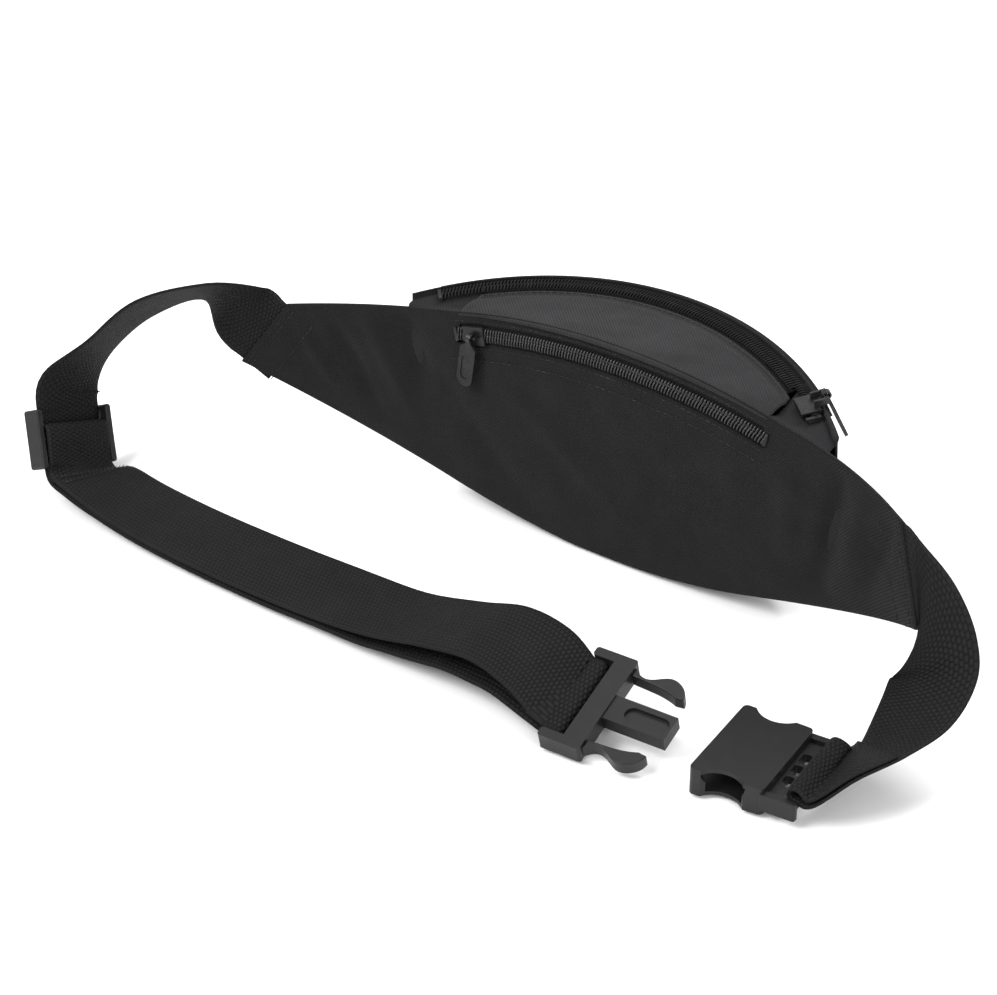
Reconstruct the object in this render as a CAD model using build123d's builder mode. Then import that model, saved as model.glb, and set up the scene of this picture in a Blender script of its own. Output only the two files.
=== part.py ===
from build123d import *
import os
from math import acos, asin, cos, degrees, pi, radians, sin, sqrt

# A waist pack: a boat-shaped fabric pack that stands on its flat base, with a 38 mm webbing belt that
# closes in a side-release buckle. Millimetres. The origin is the centre of the base, +X runs along the
# pack, +Y points out through the front panel and +Z is up. The wearer's side faces -Y.

# ---------------------------------------------------------------- driving sizes
FABRIC = 1.0             # polyester and its coating
WEBBING = 38.0           # belt width
WEB_THICK = 1.4
GAP = 0.3                # clearance between pieces that move past each other

CENTRE_X = 4.0           # the zips and the seam arch are centred here
BACK_Y = -22.0           # outer face of the back panel
FLAT_HALF = 80.0         # half of the back panel's flat stretch
LEFT_BEND, RIGHT_BEND = 260.0, 138.0   # radii of the wings' bends towards the wearer
LEFT_REACH, RIGHT_REACH = 195.0, 188.0           # the bends are drawn out to these distances
BASE_HALF = 12.0         # half of the flat stretch that the pack stands on
ARCH_RADIUS = 349.0      # the back panel's top seam
ARCH_TOP = 103.5
ARCH_HALF = 85.0
LEFT_END_TOP, LEFT_END_LOW = (-165.0, 77.0), (-187.0, 45.0)
RIGHT_END_TOP, RIGHT_END_LOW = (157.0, 84.0), (175.0, 50.0)
KEEL_X, KEEL_Z = 98.0, 14.0            # a point of the bottom edge on each side

ARCH_Z = ARCH_TOP - ARCH_RADIUS        # centre of the seam arch

# Compartment: the main zip lies on a ring in a plane that rises towards the front.
RING_TILT = 15.0
RING_Y, RING_Z = -108.6, 68.8          # centre of the ring
CHAIN_RADIUS = 137.3                   # middle of the main zip's chain
DOME_RISE = 0.27                       # slope of the flap from its rim up to the back seam
WALL_BASE_R, WALL_MID_R, WALL_TOP_R = 136.6, 148.5, 146.0
WALL_Y = -116.6                        # axis of the front wall
FLAP_LEFT, FLAP_RIGHT = -75.7, 82.7    # blunt ends of the flap
HINGE_GAP = 6.0                        # the flap's cloth is bent over this strip beside the seam

# Zips, size 5 coil.
TAPE = 0.5
TAPE_WIDTH = 11.0
COIL_OUT, COIL_IN = 2.9, 0.7           # a half chain, measured from the chain's middle
COIL_LOW, COIL_HIGH = -1.0, 1.0        # relative to the outer face of the fabric
FOLD_EDGE = 4.6                        # folded edge of the fabric beside the chain
BACK_ZIP_DROP = 10.0                   # back zip below the top seam
BACK_ZIP_LEFT, BACK_ZIP_RIGHT = 103.6, 76.8      # ends of the back chain, degrees
MAIN_ZIP_RIGHT, MAIN_ZIP_LEFT = 46.8, 134.0      # ends of the main chain, degrees
BACK_SLIDER_AT, MAIN_SLIDER_AT = 101.9, 49.5
SLIDER_LENGTH, SLIDER_WIDTH, SLIDER_PLATE = 11.0, 8.4, 0.9
BAIL_SPAN, BAIL_R = 4.4, 0.6
PULL_LENGTH, PULL_WIDTH, PULL_THICK = 24.0, 8.5, 1.5
EYE_WIDTH, EYE_ROOM = 2.4, 0.75        # the eye is loose on its bail, so that a tab can lean
BACK_PULL_LEAN = 20.0                  # the back tab leans this far from square to its bail
MAIN_PULL_OUT = 7.8                    # the main pull hangs this far outside the chain
MAIN_PULL_DROP = 74.0                  # its rest angle below the ring's plane

# Hardware for the 38 mm belt.
GLIDE_LENGTH, GLIDE_WIDTH, GLIDE_BAR = 27.0, WEBBING + 8.0, 2.6
BUCKLE_WIDTH = WEBBING + 10.0
MALE_THICK = 8.0
FEMALE_LENGTH, FEMALE_SHELL, FEMALE_THICK = 43.0, 30.0, 11.6
SHELL_WALL = 1.9
MALE_BAR_R = 1.6
GLIDE_BAR_R = 1.2
TAIL_BAR_R = 1.6
TONGUE_LENGTH, TONGUE_WIDTH, TONGUE_THICK = 27.0, 12.0, 6.2

os.makedirs("parts", exist_ok=True)


def save(builder, name):
    """Label a finished piece and write it."""
    builder.part.label = name
    export_step(builder.part, f"parts/{name}.step")
    print(f"{name:28s} {len(builder.part.solids())} solid(s) {builder.part.volume:10.1f} mm3")


# ---------------------------------------------------------------- the pack's curves
left_turn = degrees(asin((LEFT_REACH - FLAT_HALF) / LEFT_BEND))
right_turn = degrees(asin((RIGHT_REACH - FLAT_HALF) / RIGHT_BEND))


def plan_band(near, far):
    """Plan of a layer that follows the back panel, between two distances in front of its outer face."""
    with BuildSketch(Plane.XY.offset(-10)) as plan:
        with BuildLine():
            for depth in (near, far):
                Line((-FLAT_HALF, BACK_Y + depth), (FLAT_HALF, BACK_Y + depth))
            ends = []
            for depth in (near, far):
                left = CenterArc((-FLAT_HALF, BACK_Y - LEFT_BEND), LEFT_BEND + depth, 90, left_turn)
                right = CenterArc((FLAT_HALF, BACK_Y - RIGHT_BEND), RIGHT_BEND + depth,
                                  90 - right_turn, right_turn)
                ends.append((left @ 1, right @ 0))
            Line(ends[0][0], ends[1][0])
            Line(ends[0][1], ends[1][1])
        make_face()
    return plan.sketch


def bottom_edge(lift=0.0):
    """The pack's lower outline in the open builder, from the left corner to the right one."""
    left = ThreePointArc((LEFT_END_LOW[0], LEFT_END_LOW[1] + lift), (-KEEL_X, KEEL_Z + lift),
                         (-BASE_HALF, lift))
    base = Line((-BASE_HALF, lift), (BASE_HALF, lift))
    right = ThreePointArc(base @ 1, (KEEL_X, KEEL_Z + lift), (RIGHT_END_LOW[0], RIGHT_END_LOW[1] + lift))
    return left, right


def boat():
    """Outline of the back panel, wings included."""
    with BuildSketch(Plane.XZ) as outline:
        with BuildLine():
            left, right = bottom_edge()
            turn = degrees(asin(ARCH_HALF / ARCH_RADIUS))
            arch = CenterArc((CENTRE_X, ARCH_Z), ARCH_RADIUS, 90 - turn, 2 * turn)
            Polyline(left @ 0, LEFT_END_TOP, arch @ 1)
            Polyline(right @ 1, RIGHT_END_TOP, arch @ 0)
        make_face()
    return outline.sketch


def above_bottom(lift, top=140.0):
    """Everything between the bottom edge, raised by lift, and a level above the pack."""
    with BuildSketch(Plane.XZ) as region:
        with BuildLine():
            left, right = bottom_edge(lift)
            Polyline(left @ 0, (LEFT_END_LOW[0], top), (RIGHT_END_LOW[0], top), right @ 1)
        make_face()
    return region.sketch


def box_of(x_from, x_to, y_from, y_to, mode=Mode.INTERSECT, z_from=-10.0, z_to=160.0):
    """Keep (or remove) what lies in an upright box."""
    with BuildSketch(Plane.XY.offset(z_from)) as foot:
        with Locations(((x_from + x_to) / 2, (y_from + y_to) / 2)):
            Rectangle(x_to - x_from, y_to - y_from)
    extrude(foot.sketch, amount=z_to - z_from, mode=mode)


def wall_body(inset, mode):
    """The space inside the front wall, less an inset; the wall is round in plan and bellied."""
    with BuildSketch(Plane((CENTRE_X, WALL_Y, 0), x_dir=(1, 0, 0), z_dir=(0, -1, 0))) as half:
        with BuildLine():
            belly = ThreePointArc((WALL_BASE_R - inset, 0), (WALL_MID_R - inset, 50),
                                  (WALL_TOP_R - inset, 112))
            Polyline(belly @ 1, (0, 112), (0, 0), belly @ 0)
        make_face()
    revolve(half.sketch, axis=Axis((CENTRE_X, WALL_Y, 0), (0, 0, 1)), mode=mode)


# ---------------------------------------------------------------- zip tracks
tilt = radians(RING_TILT)
main_track = Plane((CENTRE_X - 0.7, RING_Y, RING_Z), x_dir=(1, 0, 0), z_dir=(0, -sin(tilt), cos(tilt)))
back_track = Plane((CENTRE_X, BACK_Y, ARCH_Z), x_dir=(1, 0, 0), z_dir=(0, -1, 0))
back_radius = ARCH_RADIUS - BACK_ZIP_DROP


def band(track, low, high, inner, outer, start, end, mode=Mode.ADD):
    """A flat arc-shaped strip between two heights over a zip's track, in the open builder."""
    with BuildSketch(track.offset(low)) as strip:
        with BuildLine():
            near = CenterArc((0, 0), inner, start, end - start)
            far = CenterArc((0, 0), outer, start, end - start)
            Line(near @ 0, far @ 0)
            Line(near @ 1, far @ 1)
        make_face()
    extrude(strip.sketch, amount=high - low, mode=mode)


def zip_halves(track, radius, inner_span, outer_span, names):
    """The two half chains of a zip and the tapes they are sewn to."""
    for side, span, coil_name, tape_name in ((-1, inner_span, *names[0]), (1, outer_span, *names[1])):
        chain = sorted((radius + side * COIL_IN, radius + side * COIL_OUT))
        cloth = sorted((radius + side * (COIL_IN + 0.4), radius + side * TAPE_WIDTH))
        with BuildPart() as coil:
            band(track, COIL_LOW, COIL_HIGH, *chain, *span)
        save(coil, coil_name)
        with BuildPart() as tape:
            band(track, COIL_LOW - TAPE, COIL_LOW, *cloth, *span)
            if track is main_track:
                wall_body(FABRIC, Mode.INTERSECT)
                box_of(-200, 200, BACK_Y + FABRIC + GAP, 100)
            else:
                with BuildSketch(Plane.XZ):
                    add(offset(boat(), amount=-FABRIC, mode=Mode.PRIVATE))
                extrude(amount=60, both=True, mode=Mode.INTERSECT)
        save(tape, tape_name)


def place(track, radius, angle, out=0.0, height=0.0):
    """A point over a track, and the directions outward, along the chain and off the fabric there."""
    turn = radians(angle)
    outward = track.x_dir * cos(turn) + track.y_dir * sin(turn)
    along = track.y_dir * cos(turn) - track.x_dir * sin(turn)
    point = track.origin + outward * (radius + out) + track.z_dir * height
    return point, outward, along, track.z_dir


PLATE_LOW = COIL_HIGH + GAP
PLATE_HIGH = PLATE_LOW + SLIDER_PLATE
EYE_R = BAIL_R + EYE_ROOM + 0.7
BAIL_HEIGHT = PLATE_HIGH + GAP + EYE_R


def slider(track, radius, angle, bail_out, name):
    """A zip slider: two plates on a thin post that runs between the half chains, and a bail on top."""
    half = degrees(SLIDER_LENGTH / 2 / radius)
    leg_in, leg_out = (degrees((BAIL_SPAN / 2 + extra) / radius) for extra in (0.0, 1.0))
    post = COIL_IN - GAP
    side_in, side_out = COIL_OUT + GAP, FOLD_EDGE - GAP
    under = COIL_LOW - TAPE - GAP
    with BuildPart() as body:
        band(track, PLATE_LOW, PLATE_HIGH, radius - SLIDER_WIDTH / 2, radius + SLIDER_WIDTH / 2,
             angle - half, angle + half)
        band(track, under - SLIDER_PLATE, under, radius - 3.4, radius + 3.4, angle - half, angle + half)
        band(track, under, PLATE_LOW, radius - post, radius + post, angle - half * 0.5, angle + half * 0.5)
        for side in (-1, 1):
            rail = sorted((radius + side * side_in, radius + side * side_out))
            band(track, COIL_LOW + GAP, PLATE_LOW, *rail, angle - half * 0.8, angle + half * 0.8)
        for side in (-1, 1):
            span = sorted((angle + side * leg_in, angle + side * leg_out))
            foot = radius + min(bail_out, 2.6)
            band(track, PLATE_HIGH, BAIL_HEIGHT + BAIL_R, min(foot, radius + bail_out) - BAIL_R,
                 radius + bail_out + BAIL_R, *span)
        start, _, along, _ = place(track, radius, angle - leg_in, bail_out, BAIL_HEIGHT)
        with BuildSketch(Plane(start, z_dir=along)):
            Circle(BAIL_R)
        extrude(amount=BAIL_SPAN)
    save(body, name)


def pull(track, radius, angle, bail_out, drop, lean, name):
    """A pull tab on a bail, turned about it by a drop below the track's plane and leaning along it."""
    centre, outward, along, off = place(track, radius, angle, bail_out, BAIL_HEIGHT)
    turn, slant = radians(drop), radians(lean)
    straight = outward * cos(turn) - off * sin(turn)
    hang = straight * cos(slant) + along * sin(slant)
    across = along * cos(slant) - straight * sin(slant)
    face = Plane(centre, x_dir=across, z_dir=across.cross(hang))
    with BuildPart() as tab:
        with BuildSketch(face.offset(-PULL_THICK / 2)):
            with Locations((0, (EYE_R + 3.4) / 2)):
                Rectangle(EYE_WIDTH, EYE_R + 3.4)
            with BuildLine():
                tip = PULL_LENGTH - PULL_WIDTH / 2
                Polyline((EYE_WIDTH / 2, 2.6), (PULL_WIDTH / 2, 5.2), (PULL_WIDTH / 2, tip))
                ThreePointArc((PULL_WIDTH / 2, tip), (0, PULL_LENGTH), (-PULL_WIDTH / 2, tip))
                Polyline((-PULL_WIDTH / 2, tip), (-PULL_WIDTH / 2, 5.2), (-EYE_WIDTH / 2, 2.6),
                         (EYE_WIDTH / 2, 2.6))
            make_face()
        extrude(amount=PULL_THICK)
        for level in (PULL_THICK / 2 - 0.4, -PULL_THICK / 2):
            with BuildSketch(face.offset(level)):
                with Locations((0, 14.6)):
                    SlotOverall(12.0, 5.0, rotation=90)
            extrude(amount=0.4, mode=Mode.SUBTRACT)
        with BuildSketch(Plane(centre - across * (EYE_WIDTH / 2), z_dir=across)):
            Circle(EYE_R)
        extrude(amount=EYE_WIDTH)
        with BuildSketch(Plane(centre - across * EYE_WIDTH, z_dir=across)):
            Circle(BAIL_R + EYE_ROOM)
        extrude(amount=2 * EYE_WIDTH, mode=Mode.SUBTRACT)
    save(tab, name)
    print("  pivot", [round(v, 3) for v in centre], "axis", [round(v, 4) for v in along])


# ---------------------------------------------------------------- back panel and its pocket
strip_span = (BACK_ZIP_RIGHT - 0.7, BACK_ZIP_LEFT + 0.7)


def back_layer(name, upper):
    """One of the two pieces of cloth that the back zip joins."""
    with BuildPart() as cloth:
        extrude(plan_band(0, FABRIC), amount=130)
        extrude(boat(), amount=100, both=True, mode=Mode.INTERSECT)
        if upper:
            band(back_track, -30, 30, back_radius, ARCH_RADIUS + 20, *strip_span, mode=Mode.INTERSECT)
        else:
            band(back_track, -30, 30, back_radius, ARCH_RADIUS + 20, *strip_span, mode=Mode.SUBTRACT)
        band(back_track, -30, 30, back_radius - FOLD_EDGE, back_radius + FOLD_EDGE,
             BACK_ZIP_RIGHT - 0.35, BACK_ZIP_LEFT + 0.35, mode=Mode.SUBTRACT)
    save(cloth, name)


back_layer("back_panel_lower", upper=False)
back_layer("back_panel_upper", upper=True)
back_span = (BACK_ZIP_RIGHT, BACK_ZIP_LEFT)
zip_halves(back_track, back_radius, back_span, back_span,
           (("back_zip_coil_lower", "back_zip_tape_lower"), ("back_zip_coil_upper", "back_zip_tape_upper")))
slider(back_track, back_radius, BACK_SLIDER_AT, 0.0, "back_zip_slider")

pull(back_track, back_radius, BACK_SLIDER_AT, 0.0, 180.0, BACK_PULL_LEAN, "back_zip_pull")

with BuildPart() as back_zip_stops:
    for edge in (BACK_ZIP_LEFT + 0.05, BACK_ZIP_RIGHT - 0.3):
        band(back_track, COIL_LOW, COIL_HIGH, back_radius - 3.1, back_radius + 3.1, edge, edge + 0.25)
save(back_zip_stops, "back_zip_stops")

POCKET_GAP = 2.6         # depth of the flat pocket behind the back panel
with BuildPart() as back_pocket_lining:
    extrude(plan_band(FABRIC + POCKET_GAP, FABRIC + POCKET_GAP + 0.6), amount=130)
    with BuildSketch(Plane.XZ):
        with BuildLine():
            left = ThreePointArc((-76, 58), (-52, 22), (0, 12))
            right = ThreePointArc((0, 12), (58, 22), (84, 58))
            Polyline(left @ 0, (-76, 82), (-60, 88))
            crown = ThreePointArc((-60, 88), (CENTRE_X, 93), (68, 88))
            Polyline(crown @ 1, (84, 82), right @ 1)
        make_face()
    extrude(amount=100, both=True, mode=Mode.INTERSECT)
save(back_pocket_lining, "back_pocket_lining")

# ---------------------------------------------------------------- front wall, base and zip ends
with BuildPart() as front_panel:
    wall_body(0, Mode.ADD)
    wall_body(FABRIC, Mode.SUBTRACT)
    box_of(-200, 200, BACK_Y + FABRIC, 120)
    extrude(above_bottom(FABRIC), amount=200, both=True, mode=Mode.INTERSECT)
    with BuildSketch(main_track):
        Rectangle(600, 600)
    extrude(amount=120, mode=Mode.SUBTRACT)
save(front_panel, "front_panel")

with BuildPart() as bottom_gusset:
    extrude(above_bottom(0), amount=200, both=True)
    extrude(above_bottom(FABRIC), amount=200, both=True, mode=Mode.SUBTRACT)
    box_of(-200, 200, BACK_Y + FABRIC, 120)
    wall_body(0, Mode.INTERSECT)
save(bottom_gusset, "bottom_gusset")


def cone_shell(rim, outer):
    """The crowned top in the open builder: a shallow cone inside the rim and a flat ring outside it."""
    inner = 55.0
    rise = (rim - inner) * DOME_RISE
    side = Plane(main_track.origin, x_dir=main_track.x_dir, z_dir=main_track.x_dir.cross(main_track.z_dir))
    with BuildSketch(side) as profile:
        with BuildLine():
            Polyline((inner, rise), (rim, 0), (outer, 0), (outer, -FABRIC), (rim, -FABRIC),
                     (inner, rise - FABRIC), (inner, rise))
        make_face()
    revolve(profile.sketch, axis=Axis(main_track.origin, main_track.z_dir))


flap_rim = CHAIN_RADIUS - FOLD_EDGE
with BuildPart() as top_flap:
    cone_shell(flap_rim, flap_rim + 0.01)
    box_of(FLAP_LEFT, FLAP_RIGHT, BACK_Y + HINGE_GAP, 120)
save(top_flap, "top_flap")

channel = (CHAIN_RADIUS - TAPE_WIDTH - GAP, CHAIN_RADIUS + FOLD_EDGE + GAP)
for name, x_from, x_to in (("left_zip_end_gusset", -160, FLAP_LEFT - 2 * GAP),
                           ("right_zip_end_gusset", FLAP_RIGHT + 2 * GAP, 160)):
    with BuildPart() as end_gusset:
        cone_shell(flap_rim, WALL_TOP_R + 6)
        box_of(x_from, x_to, BACK_Y + FABRIC, 120)
        band(main_track, -20, 20, *channel, MAIN_ZIP_RIGHT - 1.0, MAIN_ZIP_LEFT + 1.0, mode=Mode.SUBTRACT)
        wall_body(FABRIC, Mode.INTERSECT)
        extrude(above_bottom(FABRIC), amount=200, both=True, mode=Mode.INTERSECT)
    save(end_gusset, name)

# The moving half of the main zip ends at the flap's blunt ends; the front half runs the whole ring.
flap_span = tuple(sorted(degrees(acos((x - main_track.origin.X) / (CHAIN_RADIUS - COIL_OUT)))
                         for x in (FLAP_LEFT, FLAP_RIGHT - 3.0)))
main_span = (MAIN_ZIP_RIGHT, MAIN_ZIP_LEFT)
zip_halves(main_track, CHAIN_RADIUS, flap_span, main_span,
           (("main_zip_coil_flap", "main_zip_tape_flap"), ("main_zip_coil_front", "main_zip_tape_front")))
with BuildPart() as main_zip_end:
    band(main_track, COIL_LOW, COIL_HIGH, CHAIN_RADIUS - COIL_OUT, CHAIN_RADIUS - COIL_IN,
         flap_span[1] + 0.5, MAIN_ZIP_LEFT)
    band(main_track, COIL_LOW - TAPE, COIL_LOW, CHAIN_RADIUS - TAPE_WIDTH / 2, CHAIN_RADIUS - COIL_IN - 0.4,
         flap_span[1] + 0.5, MAIN_ZIP_LEFT)
save(main_zip_end, "main_zip_closed_end")
slider(main_track, CHAIN_RADIUS, MAIN_SLIDER_AT, MAIN_PULL_OUT, "main_zip_slider")
pull(main_track, CHAIN_RADIUS, MAIN_SLIDER_AT, MAIN_PULL_OUT, MAIN_PULL_DROP, 0.0, "main_zip_pull")
with BuildPart() as main_zip_stops:
    for edge in (MAIN_ZIP_LEFT + 0.1, MAIN_ZIP_RIGHT - 0.7):
        band(main_track, COIL_LOW, COIL_HIGH, CHAIN_RADIUS - 3.1, CHAIN_RADIUS + 3.1, edge, edge + 0.6)
save(main_zip_stops, "main_zip_stops")

# Seam allowance inside the top back seam, bound with tape; it stays under the flap's swing.
with BuildPart() as top_seam_binding:
    band(back_track, -FABRIC - TAPE - 3.6, -FABRIC - TAPE, ARCH_RADIUS - 4.0, ARCH_RADIUS - 1.4, *strip_span)
save(top_seam_binding, "top_seam_binding")

# ---------------------------------------------------------------- wings
WING_LAYER = FABRIC + WEB_THICK + 0.2
for name, x_from, x_to in (("left_wing_front", -200, CENTRE_X - 100),
                           ("right_wing_front", CENTRE_X + 100, 200)):
    with BuildPart() as wing:
        extrude(plan_band(WING_LAYER, WING_LAYER + FABRIC), amount=130)
        extrude(boat(), amount=150, both=True, mode=Mode.INTERSECT)
        box_of(x_from, x_to, -200, 100)
        wall_body(-0.02, Mode.SUBTRACT)
    save(wing, name)


def square_to(vector, along):
    return (vector - along * vector.dot(along)).normalized()


def wing_end(top, low, bend, side):
    """Middle of the webbing at a wing's end, the edge's direction (low to top) and the way out."""
    points = []
    for x, z in (low, top):
        reach = abs(x) - FLAT_HALF
        points.append(Vector(x, BACK_Y - bend + sqrt(bend ** 2 - reach ** 2), z))
    edge = (points[1] - points[0]).normalized()
    middle = (points[0] + points[1]) / 2
    slope = (abs(middle.X) - FLAT_HALF) / bend
    across = Vector(side * slope, sqrt(1 - slope ** 2), 0)
    leave = square_to(Vector(side * sqrt(1 - slope ** 2), -slope, 0), edge)
    return middle + across * (FABRIC + 0.1 + WEB_THICK / 2), edge, leave


left_end, left_edge, left_leave = wing_end(LEFT_END_TOP, LEFT_END_LOW, LEFT_BEND, -1)
right_end, right_edge, right_leave = wing_end(RIGHT_END_TOP, RIGHT_END_LOW, RIGHT_BEND, 1)
for name, top, low, side in (("left_strap_anchor", LEFT_END_TOP, LEFT_END_LOW, 1),
                             ("right_strap_anchor", RIGHT_END_TOP, RIGHT_END_LOW, -1)):
    edge = (Vector(top[0], 0, top[1]) - Vector(low[0], 0, low[1])).normalized()
    middle = Vector((top[0] + low[0]) / 2, 0, (top[1] + low[1]) / 2)
    inward = Vector(edge.Z * side, 0, -edge.X * side)
    with BuildPart() as anchor:
        extrude(plan_band(FABRIC + 0.1, FABRIC + 0.1 + WEB_THICK), amount=130)
        with BuildSketch(Plane(middle + inward * 9.0, x_dir=inward, z_dir=(0, -1, 0))):
            Rectangle(18.0, WEBBING)
        extrude(amount=100, both=True, mode=Mode.INTERSECT)
    save(anchor, name)

# ---------------------------------------------------------------- belt
# A station is the middle of the webbing and its width direction, from its lower edge to its upper edge as
# it leaves the wing. Stations were placed by hand along the belt as it lies.


def between(stations, steps, fanned=False):
    """A smooth run of sections through the stations (Catmull-Rom), with widths square to the run.

    A fanned run keeps the stations' own widths, for webbing that turns within its plane.
    """
    padded = [[2 * a - b for a, b in zip(stations[0], stations[1])], *stations,
              [2 * a - b for a, b in zip(stations[-1], stations[-2])]]
    middles, widths = [], []
    for i in range(1, len(padded) - 2):
        for k in range(steps + (i == len(padded) - 3)):
            s = k / steps
            values = [0.5 * (2 * b + (c - a) * s + (2 * a - 5 * b + 4 * c - d) * s * s
                             + (3 * b - a - 3 * c + d) * s ** 3)
                      for a, b, c, d in zip(*padded[i - 1:i + 3])]
            middles.append(Vector(*values[:3]))
            widths.append(Vector(*values[3:]))
    sections = []
    for i, (middle, width) in enumerate(zip(middles, widths)):
        along = (middles[min(i + 1, len(middles) - 1)] - middles[max(i - 1, 0)]).normalized()
        if fanned:
            along = square_to(along, width.normalized())
        sections.append((middle, along, square_to(width, along)))
    return sections


def shifted(sections, gaps):
    """The same run moved down its face normal by a gap that is given at evenly spaced places."""
    moved = []
    for i, (middle, along, width) in enumerate(sections):
        place_on_list = i / (len(sections) - 1) * (len(gaps) - 1)
        low = min(int(place_on_list), len(gaps) - 2)
        part = place_on_list - low
        part = part * part * (3 - 2 * part)
        gap = gaps[low] * (1 - part) + gaps[low + 1] * part
        moved.append((middle - width.cross(along) * gap, along, width))
    return moved


def turn_back(section, radius, side=1, steps=7):
    """A half turn of the webbing about its width, to the face below (side 1) or above it."""
    middle, along, width = section
    up = width.cross(along) * side
    centre = middle - up * radius
    turned = []
    for k in range(1, steps):
        angle = pi * k / steps
        turned.append((centre + up * (radius * cos(angle)) + along * (radius * sin(angle)),
                       along * cos(angle) - up * sin(angle), width))
    return turned


def reverse(sections):
    return [(middle, -along, width) for middle, along, width in reversed(sections)]


def webbing(sections, width=WEBBING, thickness=WEB_THICK):
    """Loft the webbing through its sections, in the open builder."""
    cuts = []
    for middle, along, across in sections:
        with BuildSketch(Plane(middle, x_dir=across, z_dir=along)) as cut:
            Rectangle(width, thickness)
        cuts.append(cut.sketch)
    loft(cuts, ruled=True)


def length_of(sections):
    return sum((b[0] - a[0]).length for a, b in zip(sections, sections[1:]))


STEPS = 4
START_GAP = 3.2          # the belt's body starts this far outside the wing's end
FOLD_TAIL = 23.0         # the sewn-down end under the tri-glide's fold
FOLD_PLAY = 4.0          # slack of the fold round the tri-glide's centre bar

glide_centre = Vector(-226, -113.5, 22)
glide_along = Vector(0.40, -0.30, -0.87).normalized()
glide_across = square_to(Vector(0, -0.95, 0.30), glide_along)
male_bar = Vector(70.0, -129.5, 11.4)
male_heading = Vector(0.99, 0.10, -0.02).normalized()
male_far = square_to(Vector(-0.09, 0.95, 0.30), male_heading)
male_up = male_heading.cross(male_far)
male_loop_r = MALE_BAR_R + GAP + WEB_THICK / 2
glide_loop_r = GLIDE_BAR_R + GAP + WEB_THICK / 2

left_route = [
    (*(left_end + left_leave * START_GAP), *left_edge),
    (*(left_end + left_leave * 11), *left_edge),
    (-200, -52, 79, 0.62, -0.52, 0.58),
    (-219, -73, 73, 0.46, -0.66, 0.58),
    (-230, -92, 58, 0.40, -0.74, 0.53),
    *((*(glide_centre + glide_along * step), *glide_across) for step in (-24, -12, 0, 14.5)),
    (-205, -121, 9.6, -0.08, -0.98, 0.08),
    (-180, -123, 7.0, -0.06, -0.99, 0.00),
    (-148, -125, 6.2, -0.03, -1.00, -0.05),
    (-106, -126, 6.6, -0.01, -1.00, -0.08),
    (-64, -126, 8, 0.00, -1.00, -0.09),
    (-26, -126, 11, 0.00, -1.00, -0.04),
    (4, -126, 18, 0.00, -1.00, -0.04),
    (29, -127, 24, 0.02, -0.99, -0.14),
    (50, -129, 22, 0.00, -0.96, -0.26),
    (*(male_bar + male_up * male_loop_r - male_heading * 5), *(-male_far)),
    (*(male_bar + male_up * male_loop_r), *(-male_far)),
]
# How far the run from the wing lies below the upper face's run, at each station: it goes over the
# tri-glide's end bars and under its centre bar, and comes to the underside of the male half's bar.
fold_under = 2 * glide_loop_r
glide_deep = fold_under + 2.4
below = (0, 0, 0, 0, 0, 0.5, glide_deep - 1.9, glide_deep, 3.6, 3.2, 2.6, 2.6, 3.2, 3.6, 5.5, 8.5, 12.0, 11.5,
         8.0, 2 * male_loop_r)
upper_face = between(left_route, STEPS)
glide_at = 7 * STEPS     # the section in the middle of the tri-glide
wing_run = shifted(upper_face, below)[:-7]
wing_run += [(male_bar - male_up * male_loop_r - male_heading * step, male_heading, -male_far)
             for step in (5, 0)]
slack = [(glide_centre - glide_along * FOLD_PLAY, glide_along, glide_across)]
fold_run = slack + upper_face[glide_at:-5]
fold_run += [(male_bar + male_up * male_loop_r - male_heading * step, male_heading, -male_far)
             for step in (5, 0)]
tail_count = 1 + min(i for i in range(len(fold_run)) if length_of(fold_run[:i + 1]) > FOLD_TAIL)
tail_run = shifted(fold_run[:tail_count + 1], (fold_under, fold_under, WEB_THICK + 0.4, WEB_THICK + 0.15))
returning = reverse(fold_run)
with BuildPart() as left_strap:
    webbing(wing_run + turn_back(wing_run[-1], male_loop_r, side=-1) + returning
            + turn_back(returning[-1], glide_loop_r, side=-1) + tail_run)
save(left_strap, "left_strap")
print("  left webbing", round(length_of(wing_run) + length_of(fold_run) + length_of(tail_run)
                              + pi * (male_loop_r + glide_loop_r)), "mm")

# Right belt: from the wing round to the tail bar of the female half, and folded back under itself.
female_mouth = Vector(125.5, -116.5, 6.1)
female_heading = Vector(-0.993, -0.118, 0)
female_far = Vector(-0.118, 0.993, 0)
tail_bar = female_mouth - female_heading * (FEMALE_LENGTH - TAIL_BAR_R - 0.6)
tail_loop_r = TAIL_BAR_R + GAP + WEB_THICK / 2
right_route = [
    (*(right_end + right_leave * START_GAP), *right_edge),
    (174, -55, 61, -0.15, 0.30, 0.94),
    (181, -60, 53, 0.35, 0.30, 0.88),
    (186, -64, 44, 0.75, 0.20, 0.63),
    (187.5, -67, 36, 0.93, 0.00, 0.37),
    (186.5, -76, 26, 0.92, -0.30, 0.26),
    (183, -92, 17, 0.74, -0.50, 0.45),
    (177, -104, 13, 0.50, -0.78, 0.36),
    (*(tail_bar + Vector(0, 0, tail_loop_r) - female_heading * 7), *(-female_far)),
    (*(tail_bar + Vector(0, 0, tail_loop_r)), *(-female_far)),
]
right_run = between(right_route, STEPS, fanned=True)
under_run = reverse(shifted(right_run[-3 * STEPS:], (WEB_THICK + 0.15, WEB_THICK + 0.6, 2 * tail_loop_r)))
with BuildPart() as right_strap:
    webbing(right_run + turn_back(right_run[-1], tail_loop_r) + under_run)
save(right_strap, "right_strap")
low = min((middle - width * side * WEBBING / 2).Z
          for middle, _, width in wing_run + tail_run for side in (-1, 1))
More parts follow.
